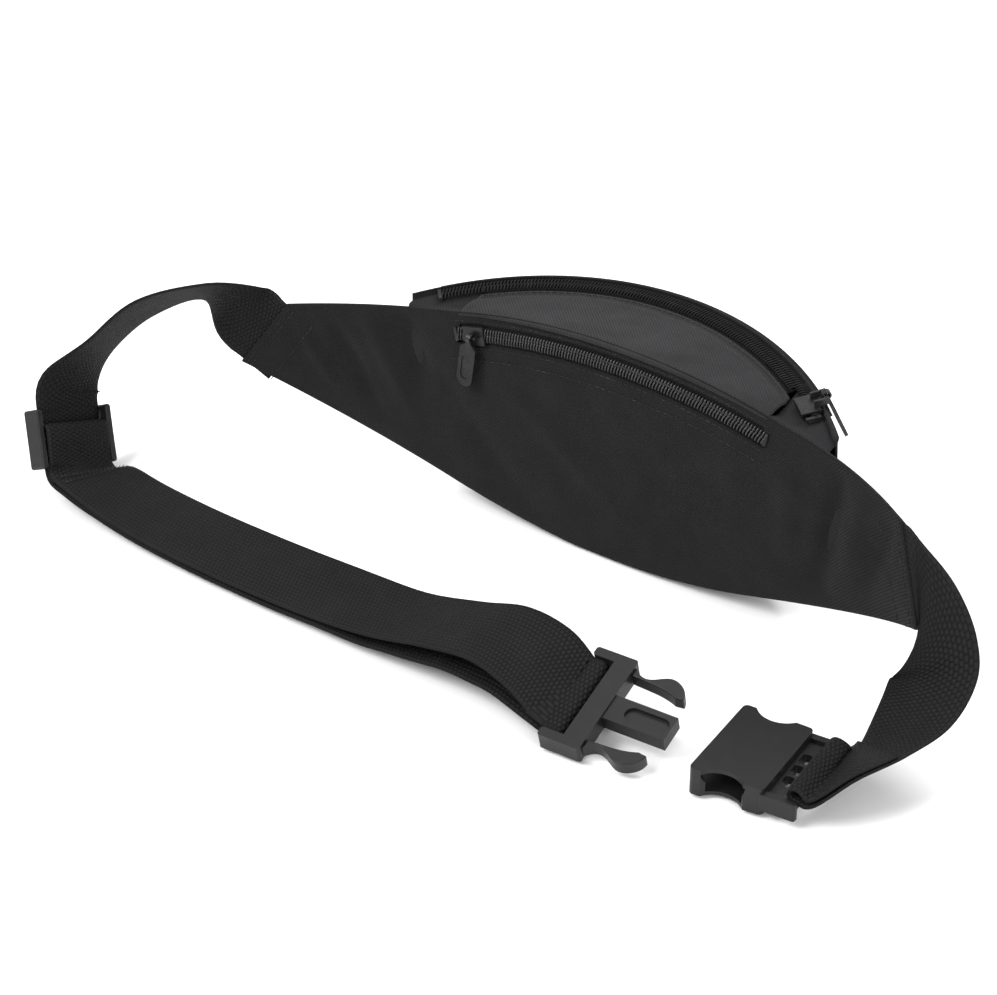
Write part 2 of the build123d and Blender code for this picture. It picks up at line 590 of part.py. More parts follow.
print("  lowest webbing", round(low - WEB_THICK / 2, 2))
print("  right webbing", round(length_of(right_run) + length_of(under_run) + pi * tail_loop_r), "mm")

# Bar tacks through the folded ends.
with BuildPart() as left_bar_tacks:
    for index in (6, 7):
        middle, along, width = upper_face[glide_at + index]
        with BuildSketch(Plane(middle, x_dir=width, z_dir=along)) as tack:
            with Locations((0, -(WEB_THICK / 2 + 0.6))):
                Rectangle(WEBBING - 3.0, 0.5)
        extrude(tack.sketch, amount=0.8, both=True)
save(left_bar_tacks, "left_bar_tacks")

# ---------------------------------------------------------------- tri-glide
glide_up = glide_across.cross(glide_along)
glide_plane = Plane(glide_centre, x_dir=glide_along, z_dir=glide_up)
bar_drop = glide_loop_r                      # centre bar below the upper webbing
rail_high = GLIDE_BAR_R + 0.6 - bar_drop
end_bar_high = -(fold_under + 2.2)           # the end bars lie under the run from the wing
end_bar_low = end_bar_high - 2.2
rail_in = WEBBING / 2 + 0.7
with BuildPart() as tri_glide:
    with BuildSketch(glide_plane.offset(end_bar_low)):
        with Locations((0, (rail_in + GLIDE_WIDTH / 2) / 2), (0, -(rail_in + GLIDE_WIDTH / 2) / 2)):
            RectangleRounded(GLIDE_LENGTH, GLIDE_WIDTH / 2 - rail_in, 1.4)
    extrude(amount=rail_high - end_bar_low)
    rail_edges = tri_glide.edges().filter_by(Axis(glide_centre, glide_along))
    fillet(rail_edges.group_by(Axis(glide_centre, glide_up))[-1], 0.8)
    with BuildSketch(glide_plane.offset(end_bar_low)):
        with Locations((-(GLIDE_LENGTH - GLIDE_BAR) / 2, 0), ((GLIDE_LENGTH - GLIDE_BAR) / 2, 0)):
            Rectangle(GLIDE_BAR, GLIDE_WIDTH - 4.0)
    extrude(amount=end_bar_high - end_bar_low)
    with BuildSketch(Plane(glide_centre - glide_up * bar_drop + glide_across * (rail_in + 1),
                           z_dir=-glide_across)):
        Circle(GLIDE_BAR_R)
    extrude(amount=2 * rail_in + 2)
save(tri_glide, "tri_glide")

# ---------------------------------------------------------------- male half of the buckle
male = Plane(male_bar, x_dir=male_heading, z_dir=male_up)
CHEEK = BUCKLE_WIDTH / 2 - WEBBING / 2 - 0.8     # thickness of the block beside the webbing
CHEEK_BACK, CHEEK_FRONT = -4.5, 14.0
BLOCK_BACK = 5.2         # solid block ahead of the slot that the webbing dives into
ARM_ROOT = CHEEK_FRONT + GAP
with BuildPart() as male_buckle:
    with BuildSketch(male.offset(-MALE_THICK / 2)):
        for side in (-1, 1):
            with Locations(((CHEEK_BACK + CHEEK_FRONT) / 2, side * (BUCKLE_WIDTH - CHEEK) / 2)):
                RectangleRounded(CHEEK_FRONT - CHEEK_BACK, CHEEK, 1.2)
        with Locations(((BLOCK_BACK + CHEEK_FRONT) / 2, 0)):
            Rectangle(CHEEK_FRONT - BLOCK_BACK, BUCKLE_WIDTH - 3.0)
    extrude(amount=MALE_THICK)
    with BuildSketch(Plane(male_bar - male_far * (BUCKLE_WIDTH / 2 - 1), z_dir=male_far)):
        Circle(MALE_BAR_R)
    extrude(amount=BUCKLE_WIDTH - 2)
    with BuildSketch(male.offset(-TONGUE_THICK / 2)):
        with Locations((CHEEK_FRONT + TONGUE_LENGTH / 2 - 1, 0)):
            Rectangle(TONGUE_LENGTH + 2, TONGUE_WIDTH)
    extrude(amount=TONGUE_THICK)
    with BuildSketch(male.offset(TONGUE_THICK / 2 - 1.4)):
        with Locations((CHEEK_FRONT + TONGUE_LENGTH / 2 + 3, 0)):
            SlotOverall(TONGUE_LENGTH - 8, TONGUE_WIDTH - 5)
    extrude(amount=4, mode=Mode.SUBTRACT)
save(male_buckle, "male_buckle_body")

ARM_AT = 19.0            # the arms' middle line at their root
ARM_THICK = 5.6
for side, name in ((-1, "latch_arm_near"), (1, "latch_arm_far")):
    with BuildPart() as arm:
        with BuildSketch(male.offset(-ARM_THICK / 2)):
            with BuildLine():
                outer = Spline((ARM_ROOT, side * (ARM_AT + 2.6)), (ARM_ROOT + 9, side * (ARM_AT + 0.4)),
                               (ARM_ROOT + 15, side * (ARM_AT + 3.4)), (ARM_ROOT + 21, side * (ARM_AT + 1.4)),
                               (ARM_ROOT + 24, side * (ARM_AT - 4.2)))
                Polyline(outer @ 1, (ARM_ROOT + 20.5, side * (ARM_AT - 4.6)))
                inner = Spline((ARM_ROOT + 20.5, side * (ARM_AT - 4.6)),
                               (ARM_ROOT + 13, side * (ARM_AT - 2.6)),
                               (ARM_ROOT + 6, side * (ARM_AT - 2.0)), (ARM_ROOT, side * (ARM_AT - 1.6)))
                Line(inner @ 1, outer @ 0)
            make_face()
        extrude(amount=ARM_THICK)
        fillet(arm.edges().group_by(Axis(male_bar, male_up))[-1], 0.6)
    save(arm, name)
    root = male.from_local_coords(Vector(ARM_ROOT + 1, side * (ARM_AT + 0.5), 0))
    print("  pivot", [round(v, 3) for v in root], "axis", [round(v, 4) for v in male_up])

# ---------------------------------------------------------------- female half of the buckle
female = Plane(female_mouth, x_dir=-female_heading, z_dir=(0, 0, 1))
SOCKET_HALF = BUCKLE_WIDTH / 2 - SHELL_WALL
WINDOW_FROM, WINDOW_TO, WINDOW_DEPTH = 5.0, 23.0, 7.5
WAIST_IN = 5.0           # the plates are cut in this far above and below the side windows
TAIL_PLATE = 6.2         # slotted plate between the shell and the webbing on the tail bar
with BuildPart() as female_shell:
    with BuildSketch(female.offset(-FEMALE_THICK / 2)):
        with BuildLine():
            Polyline((0, -BUCKLE_WIDTH / 2), (0, BUCKLE_WIDTH / 2),
                     (FEMALE_SHELL, BUCKLE_WIDTH / 2 - 1.5), (FEMALE_SHELL, -BUCKLE_WIDTH / 2 + 1.5),
                     (0, -BUCKLE_WIDTH / 2))
        make_face()
    extrude(amount=FEMALE_THICK)
    fillet(female_shell.edges().filter_by(Axis.Z), 2.2)
    with BuildSketch(female.offset(-MALE_THICK / 2 - 0.2)):
        with Locations(((FEMALE_SHELL - SHELL_WALL) / 2, 0)):
            Rectangle(FEMALE_SHELL - SHELL_WALL, 2 * SOCKET_HALF)
    extrude(amount=MALE_THICK + 0.4, mode=Mode.SUBTRACT)
    for side in (-1, 1):
        with BuildSketch(Plane(female.from_local_coords(Vector(0, side * BUCKLE_WIDTH / 2, 0)),
                               x_dir=female.x_dir, z_dir=female.y_dir * -side)):
            with BuildLine():
                base_l, base_r = (WINDOW_FROM, -MALE_THICK / 2), (WINDOW_TO, -MALE_THICK / 2)
                Line(base_l, base_r)
                ThreePointArc(base_l, ((WINDOW_FROM + WINDOW_TO) / 2, MALE_THICK / 2), base_r)
            make_face()
        extrude(amount=WINDOW_DEPTH, mode=Mode.SUBTRACT)
        with BuildSketch(female.offset(-FEMALE_THICK / 2 - 1)):
            with BuildLine():
                outside = side * BUCKLE_WIDTH / 2
                Line((WINDOW_FROM, outside), (WINDOW_TO, outside))
                ThreePointArc((WINDOW_FROM, outside),
                              ((WINDOW_FROM + WINDOW_TO) / 2, outside - side * WAIST_IN),
                              (WINDOW_TO, outside))
            make_face()
        extrude(amount=FEMALE_THICK + 2, mode=Mode.SUBTRACT)
    tail_back = FEMALE_LENGTH
    with BuildSketch(female.offset(-3.6)):
        for side in (-1, 1):
            with Locations(((FEMALE_SHELL + tail_back) / 2 - 1, side * (BUCKLE_WIDTH / 2 - 3.0))):
                RectangleRounded(tail_back - FEMALE_SHELL + 2, 3.2, 1.0)
    extrude(amount=7.2)
    with BuildSketch(female.offset(-1.8)):
        with Locations((FEMALE_SHELL + TAIL_PLATE / 2 - 0.5, 0)):
            Rectangle(TAIL_PLATE + 1, BUCKLE_WIDTH - 6)
        with Locations(*((FEMALE_SHELL + TAIL_PLATE / 2, step * 8.0) for step in (-1, 0, 1))):
            RectangleRounded(TAIL_PLATE - 2.4, 6.8, 1.2, mode=Mode.SUBTRACT)
    extrude(amount=3.6)
    with BuildSketch(Plane(tail_bar - female_far * (BUCKLE_WIDTH / 2 - 3), z_dir=female_far)):
        Circle(TAIL_BAR_R)
    extrude(amount=BUCKLE_WIDTH - 6)
save(female_shell, "female_buckle_shell")
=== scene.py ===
# %% [markdown]
# # A waist pack in woven cloth, coil zips and webbing
# The hard pieces (buckle, tri-glide, zip sliders and pulls) already exist as exact solids. Everything
# that is cloth is made here: each piece is a thin sheet that follows a rule, with its own weave.

# %% Load the frame
import bmesh
import bpy
from functools import partial
from math import acos, asin, atan2, cos, degrees, exp, pi, radians, sin, sqrt
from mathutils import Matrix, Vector, noise


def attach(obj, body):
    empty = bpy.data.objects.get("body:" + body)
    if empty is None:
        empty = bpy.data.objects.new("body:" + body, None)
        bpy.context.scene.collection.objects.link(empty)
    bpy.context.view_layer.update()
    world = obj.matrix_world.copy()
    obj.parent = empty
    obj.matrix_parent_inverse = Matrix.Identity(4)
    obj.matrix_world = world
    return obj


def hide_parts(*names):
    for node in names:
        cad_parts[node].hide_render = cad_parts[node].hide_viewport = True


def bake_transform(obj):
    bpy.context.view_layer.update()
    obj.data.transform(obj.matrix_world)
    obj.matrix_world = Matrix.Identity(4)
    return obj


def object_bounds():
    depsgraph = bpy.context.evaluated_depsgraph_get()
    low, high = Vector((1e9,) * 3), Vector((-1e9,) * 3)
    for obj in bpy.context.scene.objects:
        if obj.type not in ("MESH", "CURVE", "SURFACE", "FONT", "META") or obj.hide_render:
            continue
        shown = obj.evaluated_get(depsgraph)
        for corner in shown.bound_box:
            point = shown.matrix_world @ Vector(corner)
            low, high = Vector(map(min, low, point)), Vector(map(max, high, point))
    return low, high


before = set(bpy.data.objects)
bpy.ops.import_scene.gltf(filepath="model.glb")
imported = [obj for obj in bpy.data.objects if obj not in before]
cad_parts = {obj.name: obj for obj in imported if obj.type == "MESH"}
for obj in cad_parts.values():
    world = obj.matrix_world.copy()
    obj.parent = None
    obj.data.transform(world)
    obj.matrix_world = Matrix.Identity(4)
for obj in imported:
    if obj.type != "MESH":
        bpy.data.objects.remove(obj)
cad_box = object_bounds()
MM = 0.001

# %% [markdown]
# ## Shader groups
# The weaves are repeated in many cloths, so each is a node group with named inputs. Every pattern reads
# the piece's UV map, which is laid out in metres: a thread then keeps its size on every piece.

# %% A small helper for node trees
def joined(tree, kind, inputs=(), **settings):
    """Add a node, set its properties, and link or fill its inputs in order."""
    node = tree.nodes.new(kind)
    for key, value in settings.items():
        setattr(node, key, value)
    for index, value in enumerate(inputs):
        if value is None:
            continue
        if isinstance(value, bpy.types.NodeSocket):
            tree.links.new(value, node.inputs[index])
        else:
            node.inputs[index].default_value = value
    return node


def maths(tree, operation, *inputs):
    return joined(tree, "ShaderNodeMath", inputs, operation=operation).outputs[0]


def start_group(name, inputs, outputs):
    """An empty shader group with named sockets; returns the tree, its inputs and its output node."""
    tree = bpy.data.node_groups.new(name, "ShaderNodeTree")
    for label, kind, default in inputs:
        socket = tree.interface.new_socket(name=label, in_out="INPUT", socket_type=kind)
        if default is not None:
            socket.default_value = default
    for label, kind in outputs:
        tree.interface.new_socket(name=label, in_out="OUTPUT", socket_type=kind)
    return tree, tree.nodes.new("NodeGroupInput").outputs, tree.nodes.new("NodeGroupOutput").inputs


# %% Plain weave: yarns that pass over and under each other
FLOAT = "NodeSocketFloat"
plain_weave, given, out = start_group(
    "Plain weave", [("Yarn", FLOAT, 0.0006), ("Fuzz", FLOAT, 0.3)], [("Height", FLOAT), ("Tone", FLOAT)])
op = partial(maths, plain_weave)
uv = joined(plain_weave, "ShaderNodeUVMap", uv_map="UVMap").outputs[0]
parts = joined(plain_weave, "ShaderNodeSeparateXYZ", [uv]).outputs
weft = op("DIVIDE", parts[0], given["Yarn"])
warp = op("DIVIDE", parts[1], given["Yarn"])
over = op("MODULO", op("ADD", op("FLOOR", weft), op("ADD", op("FLOOR", warp), 20000.0)), 2.0)
hump_a = op("ABSOLUTE", op("SINE", op("MULTIPLY", weft, pi)))
hump_b = op("ABSOLUTE", op("SINE", op("MULTIPLY", warp, pi)))
mixed = joined(plain_weave, "ShaderNodeMix", [over, None, hump_a, hump_b]).outputs[0]
fibres = joined(plain_weave, "ShaderNodeTexNoise", [uv, None, 2600.0, 3.0]).outputs[0]
cloudy = joined(plain_weave, "ShaderNodeTexNoise", [uv, None, 90.0, 4.0]).outputs[0]
fuzzy = op("MULTIPLY", fibres, given["Fuzz"])
plain_weave.links.new(op("ADD", mixed, fuzzy), out["Height"])
tone = op("ADD", op("MULTIPLY", mixed, 0.45), op("MULTIPLY", op("ADD", fibres, cloudy), 0.4))
plain_weave.links.new(tone, out["Tone"])
print("plain weave:", len(plain_weave.nodes), "nodes")

# %% [markdown]
# Belt webbing is thicker: raised dots in offset rows, between two tight edges. The same group makes the
# grosgrain binding, with finer rows.

# %% Ribbed webbing
ribbed, given, out = start_group(
    "Ribbed webbing", [("Pick", FLOAT, 0.0019), ("Row", FLOAT, 0.0021), ("Half width", FLOAT, 0.019)],
    [("Height", FLOAT), ("Tone", FLOAT)])
op = partial(maths, ribbed)
uv = joined(ribbed, "ShaderNodeUVMap", uv_map="UVMap").outputs[0]
parts = joined(ribbed, "ShaderNodeSeparateXYZ", [uv]).outputs
pick = op("DIVIDE", op("ADD", parts[0], 10.0), given["Pick"])
row = op("DIVIDE", op("ADD", parts[1], 10.0), given["Row"])
shift = op("MULTIPLY", op("MODULO", op("FLOOR", row), 2.0), 0.5)
dot_a = op("ABSOLUTE", op("SINE", op("MULTIPLY", op("ADD", pick, shift), pi)))
dot_b = op("ABSOLUTE", op("SINE", op("MULTIPLY", row, pi)))
dots = op("MULTIPLY", op("POWER", dot_a, 0.6), op("POWER", dot_b, 0.5))
fibres = joined(ribbed, "ShaderNodeTexNoise", [uv, None, 1900.0, 3.0]).outputs[0]
cloudy = joined(ribbed, "ShaderNodeTexNoise", [uv, None, 60.0, 3.0]).outputs[0]
edge = op("SUBTRACT", given["Half width"], op("ABSOLUTE", parts[1]))
selvedge = joined(ribbed, "ShaderNodeMapRange", [edge, 0.0006, 0.0016, 0.25, 1.0]).outputs[0]
height = op("ADD", op("MULTIPLY", dots, selvedge), op("MULTIPLY", fibres, 0.25))
ribbed.links.new(height, out["Height"])
# Tone: the raised dots are painted lighter, a painted highlight on their crowns; the fibre and cloud noise
# add random tone.
tone = op("ADD", op("MULTIPLY", dots, 0.6), op("MULTIPLY", op("ADD", fibres, cloudy), 0.3))
ribbed.links.new(tone, out["Tone"])
print("webbing:", len(ribbed.nodes), "nodes")

# %% [markdown]
# Lint and dust settle on black cloth. One group gives a soft mask of pale specks and rubbed patches, read
# from the object's own place, so that it never slides.

# %% Wear and lint
wear, given, out = start_group("Wear and lint", [("Size", FLOAT, 55.0), ("Amount", FLOAT, 0.4)],
                               [("Mask", FLOAT)])
op = partial(maths, wear)
place = joined(wear, "ShaderNodeTexCoord").outputs["Object"]
broad = joined(wear, "ShaderNodeTexNoise", [place, None, given["Size"], 5.0]).outputs[0]
rubbed = joined(wear, "ShaderNodeMapRange", [broad, 0.48, 0.75, 0.0, 1.0]).outputs[0]
specks = joined(wear, "ShaderNodeTexVoronoi", [place, None, 420.0]).outputs["Distance"]
speck = joined(wear, "ShaderNodeMapRange", [specks, 0.05, 0.11, 1.0, 0.0]).outputs[0]
sparse = joined(wear, "ShaderNodeTexNoise", [place, None, 130.0, 2.0]).outputs[0]
few = joined(wear, "ShaderNodeMapRange", [sparse, 0.6, 0.68, 0.0, 1.0]).outputs[0]
lint = op("MULTIPLY", speck, few)
wear.links.new(op("MULTIPLY", op("MAXIMUM", rubbed, lint), given["Amount"]), out["Mask"])
print("wear:", len(wear.nodes), "nodes")


# %% Finishes
def start_finish(name, roughness, sheen=0.0, sheen_roughness=0.5, specular=0.5, metallic=0.0):
    material = bpy.data.materials.new(name)
    material.use_nodes = True
    shader = material.node_tree.nodes["Principled BSDF"]
    for label, value in (("Roughness", roughness), ("Sheen Weight", sheen),
                         ("Sheen Roughness", sheen_roughness), ("Specular IOR Level", specular),
                         ("Metallic", metallic)):
        shader.inputs[label].default_value = value
    return material, material.node_tree, shader


def two_tone(tree, factor, dark, light):
    mix = joined(tree, "ShaderNodeMix", data_type="RGBA")
    tree.links.new(factor, mix.inputs["Factor"])
    mix.inputs["A"].default_value = (*dark, 1)
    mix.inputs["B"].default_value = (*light, 1)
    return mix.outputs["Result"]


def tinted(colour, gain):
    return tuple(channel * gain for channel in colour)


def cloth_finish(name, weave, settings, colour, contrast, depth, roughness=0.85, sheen=0.03, wear_amount=0.3,
                 specular=0.08):
    """A woven finish: colour follows the yarns, and the same height drives the bump."""
    material, tree, shader = start_finish(name, roughness, sheen=sheen, specular=specular)
    pattern = joined(tree, "ShaderNodeGroup", node_tree=weave)
    for label, value in settings.items():
        pattern.inputs[label].default_value = value
    base = two_tone(tree, pattern.outputs["Tone"], tinted(colour, 1 - contrast), tinted(colour, 1 + contrast))
    rub = joined(tree, "ShaderNodeGroup", node_tree=wear)
    rub.inputs["Amount"].default_value = wear_amount
    blend = joined(tree, "ShaderNodeMix", data_type="RGBA")
    tree.links.new(rub.outputs["Mask"], blend.inputs["Factor"])
    tree.links.new(base, blend.inputs["A"])
    blend.inputs["B"].default_value = (*tinted(colour, 2.2), 1)
    tree.links.new(blend.outputs["Result"], shader.inputs["Base Color"])
    bump = joined(tree, "ShaderNodeBump")
    bump.inputs["Distance"].default_value = depth
    bump.inputs["Strength"].default_value = 0.9
    tree.links.new(pattern.outputs["Height"], bump.inputs["Height"])
    tree.links.new(bump.outputs[0], shader.inputs["Normal"])
    return material


BLACK = (1.0, 1.0, 1.06)
COARSE = {"Yarn": 0.00085}
back_cloth = cloth_finish("back panel cloth", plain_weave, COARSE, tinted(BLACK, 0.0066), 0.8, 0.0002)
# The flap takes a lighter copy of the back panel's polyester: painted light where the flap faces up to the
# lamps.
lit_flap_cloth = cloth_finish("flap cloth painted lighter", plain_weave, COARSE, tinted(BLACK, 0.0125), 0.75, 0.00018, sheen=0.05)
front_cloth = cloth_finish("front cloth", plain_weave, COARSE, tinted(BLACK, 0.01), 0.75, 0.00018)
lining_cloth = cloth_finish("lining cloth", plain_weave, {"Yarn": 0.0003, "Fuzz": 0.1},
                            tinted(BLACK, 0.03), 0.4, 0.00005, roughness=0.6)
# The strong tone contrast paints the raised dots' highlights into the belt's colour.
belt_webbing = cloth_finish("belt webbing", ribbed, {}, tinted(BLACK, 0.0062), 0.95, 0.0007, roughness=0.75,
                            sheen=0.0, wear_amount=0.3, specular=0.12)
zip_tape_cloth = cloth_finish("zip tape", ribbed, {"Pick": 0.0009, "Row": 0.0007, "Half width": 1.0},
                              tinted(BLACK, 0.006), 0.6, 0.0001)
binding_cloth = cloth_finish("seam binding", ribbed, {"Pick": 0.0012, "Row": 0.0006, "Half width": 1.0},
                             tinted(BLACK, 0.01), 0.6, 0.00012)
print("cloths:", [m.name for m in bpy.data.materials])


# %% [markdown]
# ## Hard finishes
# Moulded plastic has a fine spark-eroded grain and patches that have been rubbed paler. Zip metal is
# painted black, with chips where the bright metal shows.

# %% Plastic, nylon, thread and painted metal
def hard_finish(name, colour, roughness, grain, depth, chips=0.15, worn=(0.16, 0.16, 0.17), specular=0.5,
                metallic=0.0):
    material, tree, shader = start_finish(name, roughness, specular=specular, metallic=metallic)
    place = joined(tree, "ShaderNodeTexCoord").outputs["Object"]
    fine = joined(tree, "ShaderNodeTexNoise", [place, None, grain, 3.0]).outputs[0]
    rub = joined(tree, "ShaderNodeGroup", node_tree=wear)
    rub.inputs["Size"].default_value = 160.0
    rub.inputs["Amount"].default_value = chips
    base = two_tone(tree, fine, tinted(colour, 0.7), tinted(colour, 1.3))
    blend = joined(tree, "ShaderNodeMix", data_type="RGBA")
    tree.links.new(rub.outputs["Mask"], blend.inputs["Factor"])
    tree.links.new(base, blend.inputs["A"])
    blend.inputs["B"].default_value = (*worn, 1)
    tree.links.new(blend.outputs["Result"], shader.inputs["Base Color"])
    rough = joined(tree, "ShaderNodeMapRange", [fine, 0.3, 0.7, roughness - 0.08, roughness + 0.1]).outputs[0]
    tree.links.new(rough, shader.inputs["Roughness"])
    bump = joined(tree, "ShaderNodeBump")
    bump.inputs["Distance"].default_value = depth
    tree.links.new(fine, bump.inputs["Height"])
    tree.links.new(bump.outputs[0], shader.inputs["Normal"])
    return material


buckle_plastic = hard_finish("buckle plastic", tinted(BLACK, 0.008), 0.4, 2200.0, 0.00006, chips=0.04,
                             worn=(0.05, 0.05, 0.053), specular=0.26)
coil_nylon = hard_finish("coil nylon", tinted(BLACK, 0.018), 0.3, 900.0, 0.00004, chips=0.08, specular=0.45)
# A darker, duller copy of the coil nylon for the main zip's coil under the flap: painted shade.
shaded_copy_nylon = hard_finish("shaded coil nylon", tinted(BLACK, 0.008), 0.6, 900.0, 0.00004, chips=0.04,
                           specular=0.12)
painted_metal = hard_finish("painted metal", tinted(BLACK, 0.008), 0.34, 1500.0, 0.00005, chips=0.12,
                            worn=(0.12, 0.115, 0.11), specular=0.3)
sewing_thread = hard_finish("sewing thread", tinted(BLACK, 0.012), 0.6, 4000.0, 0.00008, specular=0.2)
stop_metal = hard_finish("stop metal", tinted(BLACK, 0.01), 0.4, 1500.0, 0.00004, specular=0.25)

CAD_FINISH = {
    buckle_plastic: ("tri_glide", "male_buckle_body", "latch_arm_near", "latch_arm_far",
                     "female_buckle_shell"),
    painted_metal: ("back_zip_slider", "main_zip_slider", "back_zip_pull", "main_zip_pull"),
    stop_metal: ("back_zip_stops", "main_zip_stops")}
for finish, nodes in CAD_FINISH.items():
    for node in nodes:
        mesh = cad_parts[node].data
        mesh.materials.clear()
        mesh.materials.append(finish)
print("finished", sum(map(len, CAD_FINISH.values())), "hard pieces")

# %% [markdown]
# ## The pack's curves
# The cloth follows the same few curves as the solids: the seam arch at the top, the boat-shaped bottom
# edge, the wings' bends, and the tilted ring that the main zip lies on. All sizes here are millimetres.

# %% Curves of the pack
CENTRE_X, BACK_Y, FLAT_HALF = 4.0, -22.0, 80.0
LEFT_BEND, RIGHT_BEND = 260.0, 138.0
ARCH_RADIUS, ARCH_Z, ARCH_HALF = 349.0, 103.5 - 349.0, 85.0
LEFT_TOP, LEFT_LOW, RIGHT_TOP, RIGHT_LOW = (-165.0, 77.0), (-187.0, 45.0), (157.0, 84.0), (175.0, 50.0)
BACK_CHAIN, BACK_ZIP = 339.0, (76.8, 103.6)
RING, RING_TILT, CHAIN, MAIN_ZIP = Vector((3.3, -108.6, 68.8)), radians(15.0), 137.3, (46.8, 134.0)
FLAP_ENDS, FOLD = (-75.7, 82.7), 4.6
WALL_Y = -116.6


def circle_through(a, b, c):
    """Centre and radius of the circle through three points of the XZ plane."""
    (ax, ay), (bx, by), (cx, cy) = a, b, c
    d = 2 * (ax * (by - cy) + bx * (cy - ay) + cx * (ay - by))
    aa, bb, cc = ax ** 2 + ay ** 2, bx ** 2 + by ** 2, cx ** 2 + cy ** 2
    x = (aa * (by - cy) + bb * (cy - ay) + cc * (ay - by)) / d
    y = (aa * (cx - bx) + bb * (ax - cx) + cc * (bx - ax)) / d
    return x, y, sqrt((ax - x) ** 2 + (ay - y) ** 2)


left_keel = circle_through(LEFT_LOW, (-98.0, 14.0), (-12.0, 0.0))
right_keel = circle_through((12.0, 0.0), (98.0, 14.0), RIGHT_LOW)


def bottom_z(x):
    if -12 <= x <= 12:
        return 0.0
    cx, cz, r = left_keel if x < 0 else right_keel
    return cz - sqrt(r * r - (x - cx) ** 2)


def arch_z(x):
    return ARCH_Z + sqrt(ARCH_RADIUS ** 2 - (x - CENTRE_X) ** 2)


def top_z(x):
    for side, corner in ((-1, LEFT_TOP), (1, RIGHT_TOP)):
        end = CENTRE_X + side * ARCH_HALF
        if side * (x - end) > 0:
            return arch_z(end) + (corner[1] - arch_z(end)) * (x - end) / (corner[0] - end)
    return arch_z(x)


def back_plan(x, ahead=0.0):
    """Where the back panel is in plan, moved ahead of its outer face, and the way it faces."""
    bend, side = (LEFT_BEND, -1) if x < 0 else (RIGHT_BEND, 1)
    reach = abs(x) - FLAT_HALF
    if reach <= 0:
        return Vector((x, BACK_Y + ahead, 0)), Vector((0, -1, 0))
    slope = reach / bend
    face = Vector((-side * slope, -sqrt(1 - slope ** 2), 0))
    return Vector((x, BACK_Y - bend + sqrt(bend ** 2 - reach ** 2), 0)) - face * ahead, face


def ring_point(radius, angle, height=0.0):
    """A point over the main zip's ring; angle in degrees from +X."""
    a = radians(angle)
    flat = Vector((cos(a), sin(a) * cos(RING_TILT), sin(a) * sin(RING_TILT)))
    return RING + flat * radius + RING_OFF * height


RING_OFF = Vector((0, -sin(RING_TILT), cos(RING_TILT)))


def back_point(radius, angle, height=0.0):
    """A point over the back zip's track; height is out towards the wearer."""
    a = radians(angle)
    return Vector((CENTRE_X + radius * cos(a), BACK_Y - height, ARCH_Z + radius * sin(a)))


print("seam at x=0:", round(top_z(0), 1), "bottom at x=98:", round(bottom_z(98), 1))

# %% [markdown]
# ## From a rule to a sheet of cloth
# A piece of cloth is a grid of points, given a real thickness by Solidify and then made a plain mesh.
# Gentle noise, and a few folds put where the cloth creases, keep it from looking pressed.

# %% Sheet maker
def smooth(value, low, high):
    t = min(max((value - low) / (high - low), 0.0), 1.0)
    return t * t * (3 - 2 * t)


def ripple(point, size, seed=0.0):
    return noise.noise(Vector(point) / size + Vector((seed, seed * 1.7, seed * 0.3)))


def make_plain(obj):
    """Turn an object with modifiers into the mesh they give."""
    depsgraph = bpy.context.evaluated_depsgraph_get()
    mesh = bpy.data.meshes.new_from_object(obj.evaluated_get(depsgraph))
    obj.modifiers.clear()
    obj.data = mesh
    for polygon in mesh.polygons:
        polygon.use_smooth = True
    return obj


def cloth_grid(name, columns, rows, point, facing, thickness, finish, left_out=lambda i, j: False,
               subdivide=0):
    """A sheet of cloth from point(u, v) -> (place in mm, (along, across) in mm), facing out one way."""
    places, flat = [], []
    for j in range(rows + 1):
        for i in range(columns + 1):
            place, lay = point(i / columns, j / rows)
            places.append(place * MM)
            flat.append((lay[0] * MM, lay[1] * MM))
    faces = [(j * (columns + 1) + i, j * (columns + 1) + i + 1, (j + 1) * (columns + 1) + i + 1,
              (j + 1) * (columns + 1) + i) for j in range(rows) for i in range(columns) if not left_out(i, j)]
    a, b, c, d = (places[k] for k in faces[len(faces) // 2])
    if (c - a).cross(d - b).dot(Vector(facing)) < 0:
        faces = [face[::-1] for face in faces]
    mesh = bpy.data.meshes.new(name)
    mesh.from_pydata(places, [], faces)
    layer = mesh.uv_layers.new(name="UVMap")
    for loop in mesh.loops:
        layer.data[loop.index].uv = flat[loop.vertex_index]
    mesh.materials.append(finish)
    obj = bpy.data.objects.new(name, mesh)
    bpy.context.collection.objects.link(obj)
    if thickness:
        wall = obj.modifiers.new("thickness", "SOLIDIFY")
        wall.thickness, wall.offset, wall.use_even_offset = thickness * MM, -1.0, True
    if subdivide:
        finer = obj.modifiers.new("finer", "SUBSURF")
        finer.levels = finer.render_levels = subdivide
    make_plain(obj)
    print(f"{name}: {len(obj.data.polygons)} faces")
    return obj


# %% [markdown]
# ## Back panel
# One piece of cloth from wing tip to wing tip, with a slot along the arch for the zip. Its rows are
# fitted to the slot's edges, so the slot needs no cutting.

# %% Back panel
BACK_LOWER_ROWS, SLOT_ROWS, BACK_UPPER_ROWS, BACK_COLUMNS = 40, 2, 4, 210


def boat_line(u):
    """The foot and head of the panel's u-th upright line, in XZ."""
    foot_x = LEFT_LOW[0] + (RIGHT_LOW[0] - LEFT_LOW[0]) * u
    head_x = LEFT_TOP[0] + (RIGHT_TOP[0] - LEFT_TOP[0]) * u
    return (foot_x, bottom_z(foot_x)), (head_x, top_z(head_x))


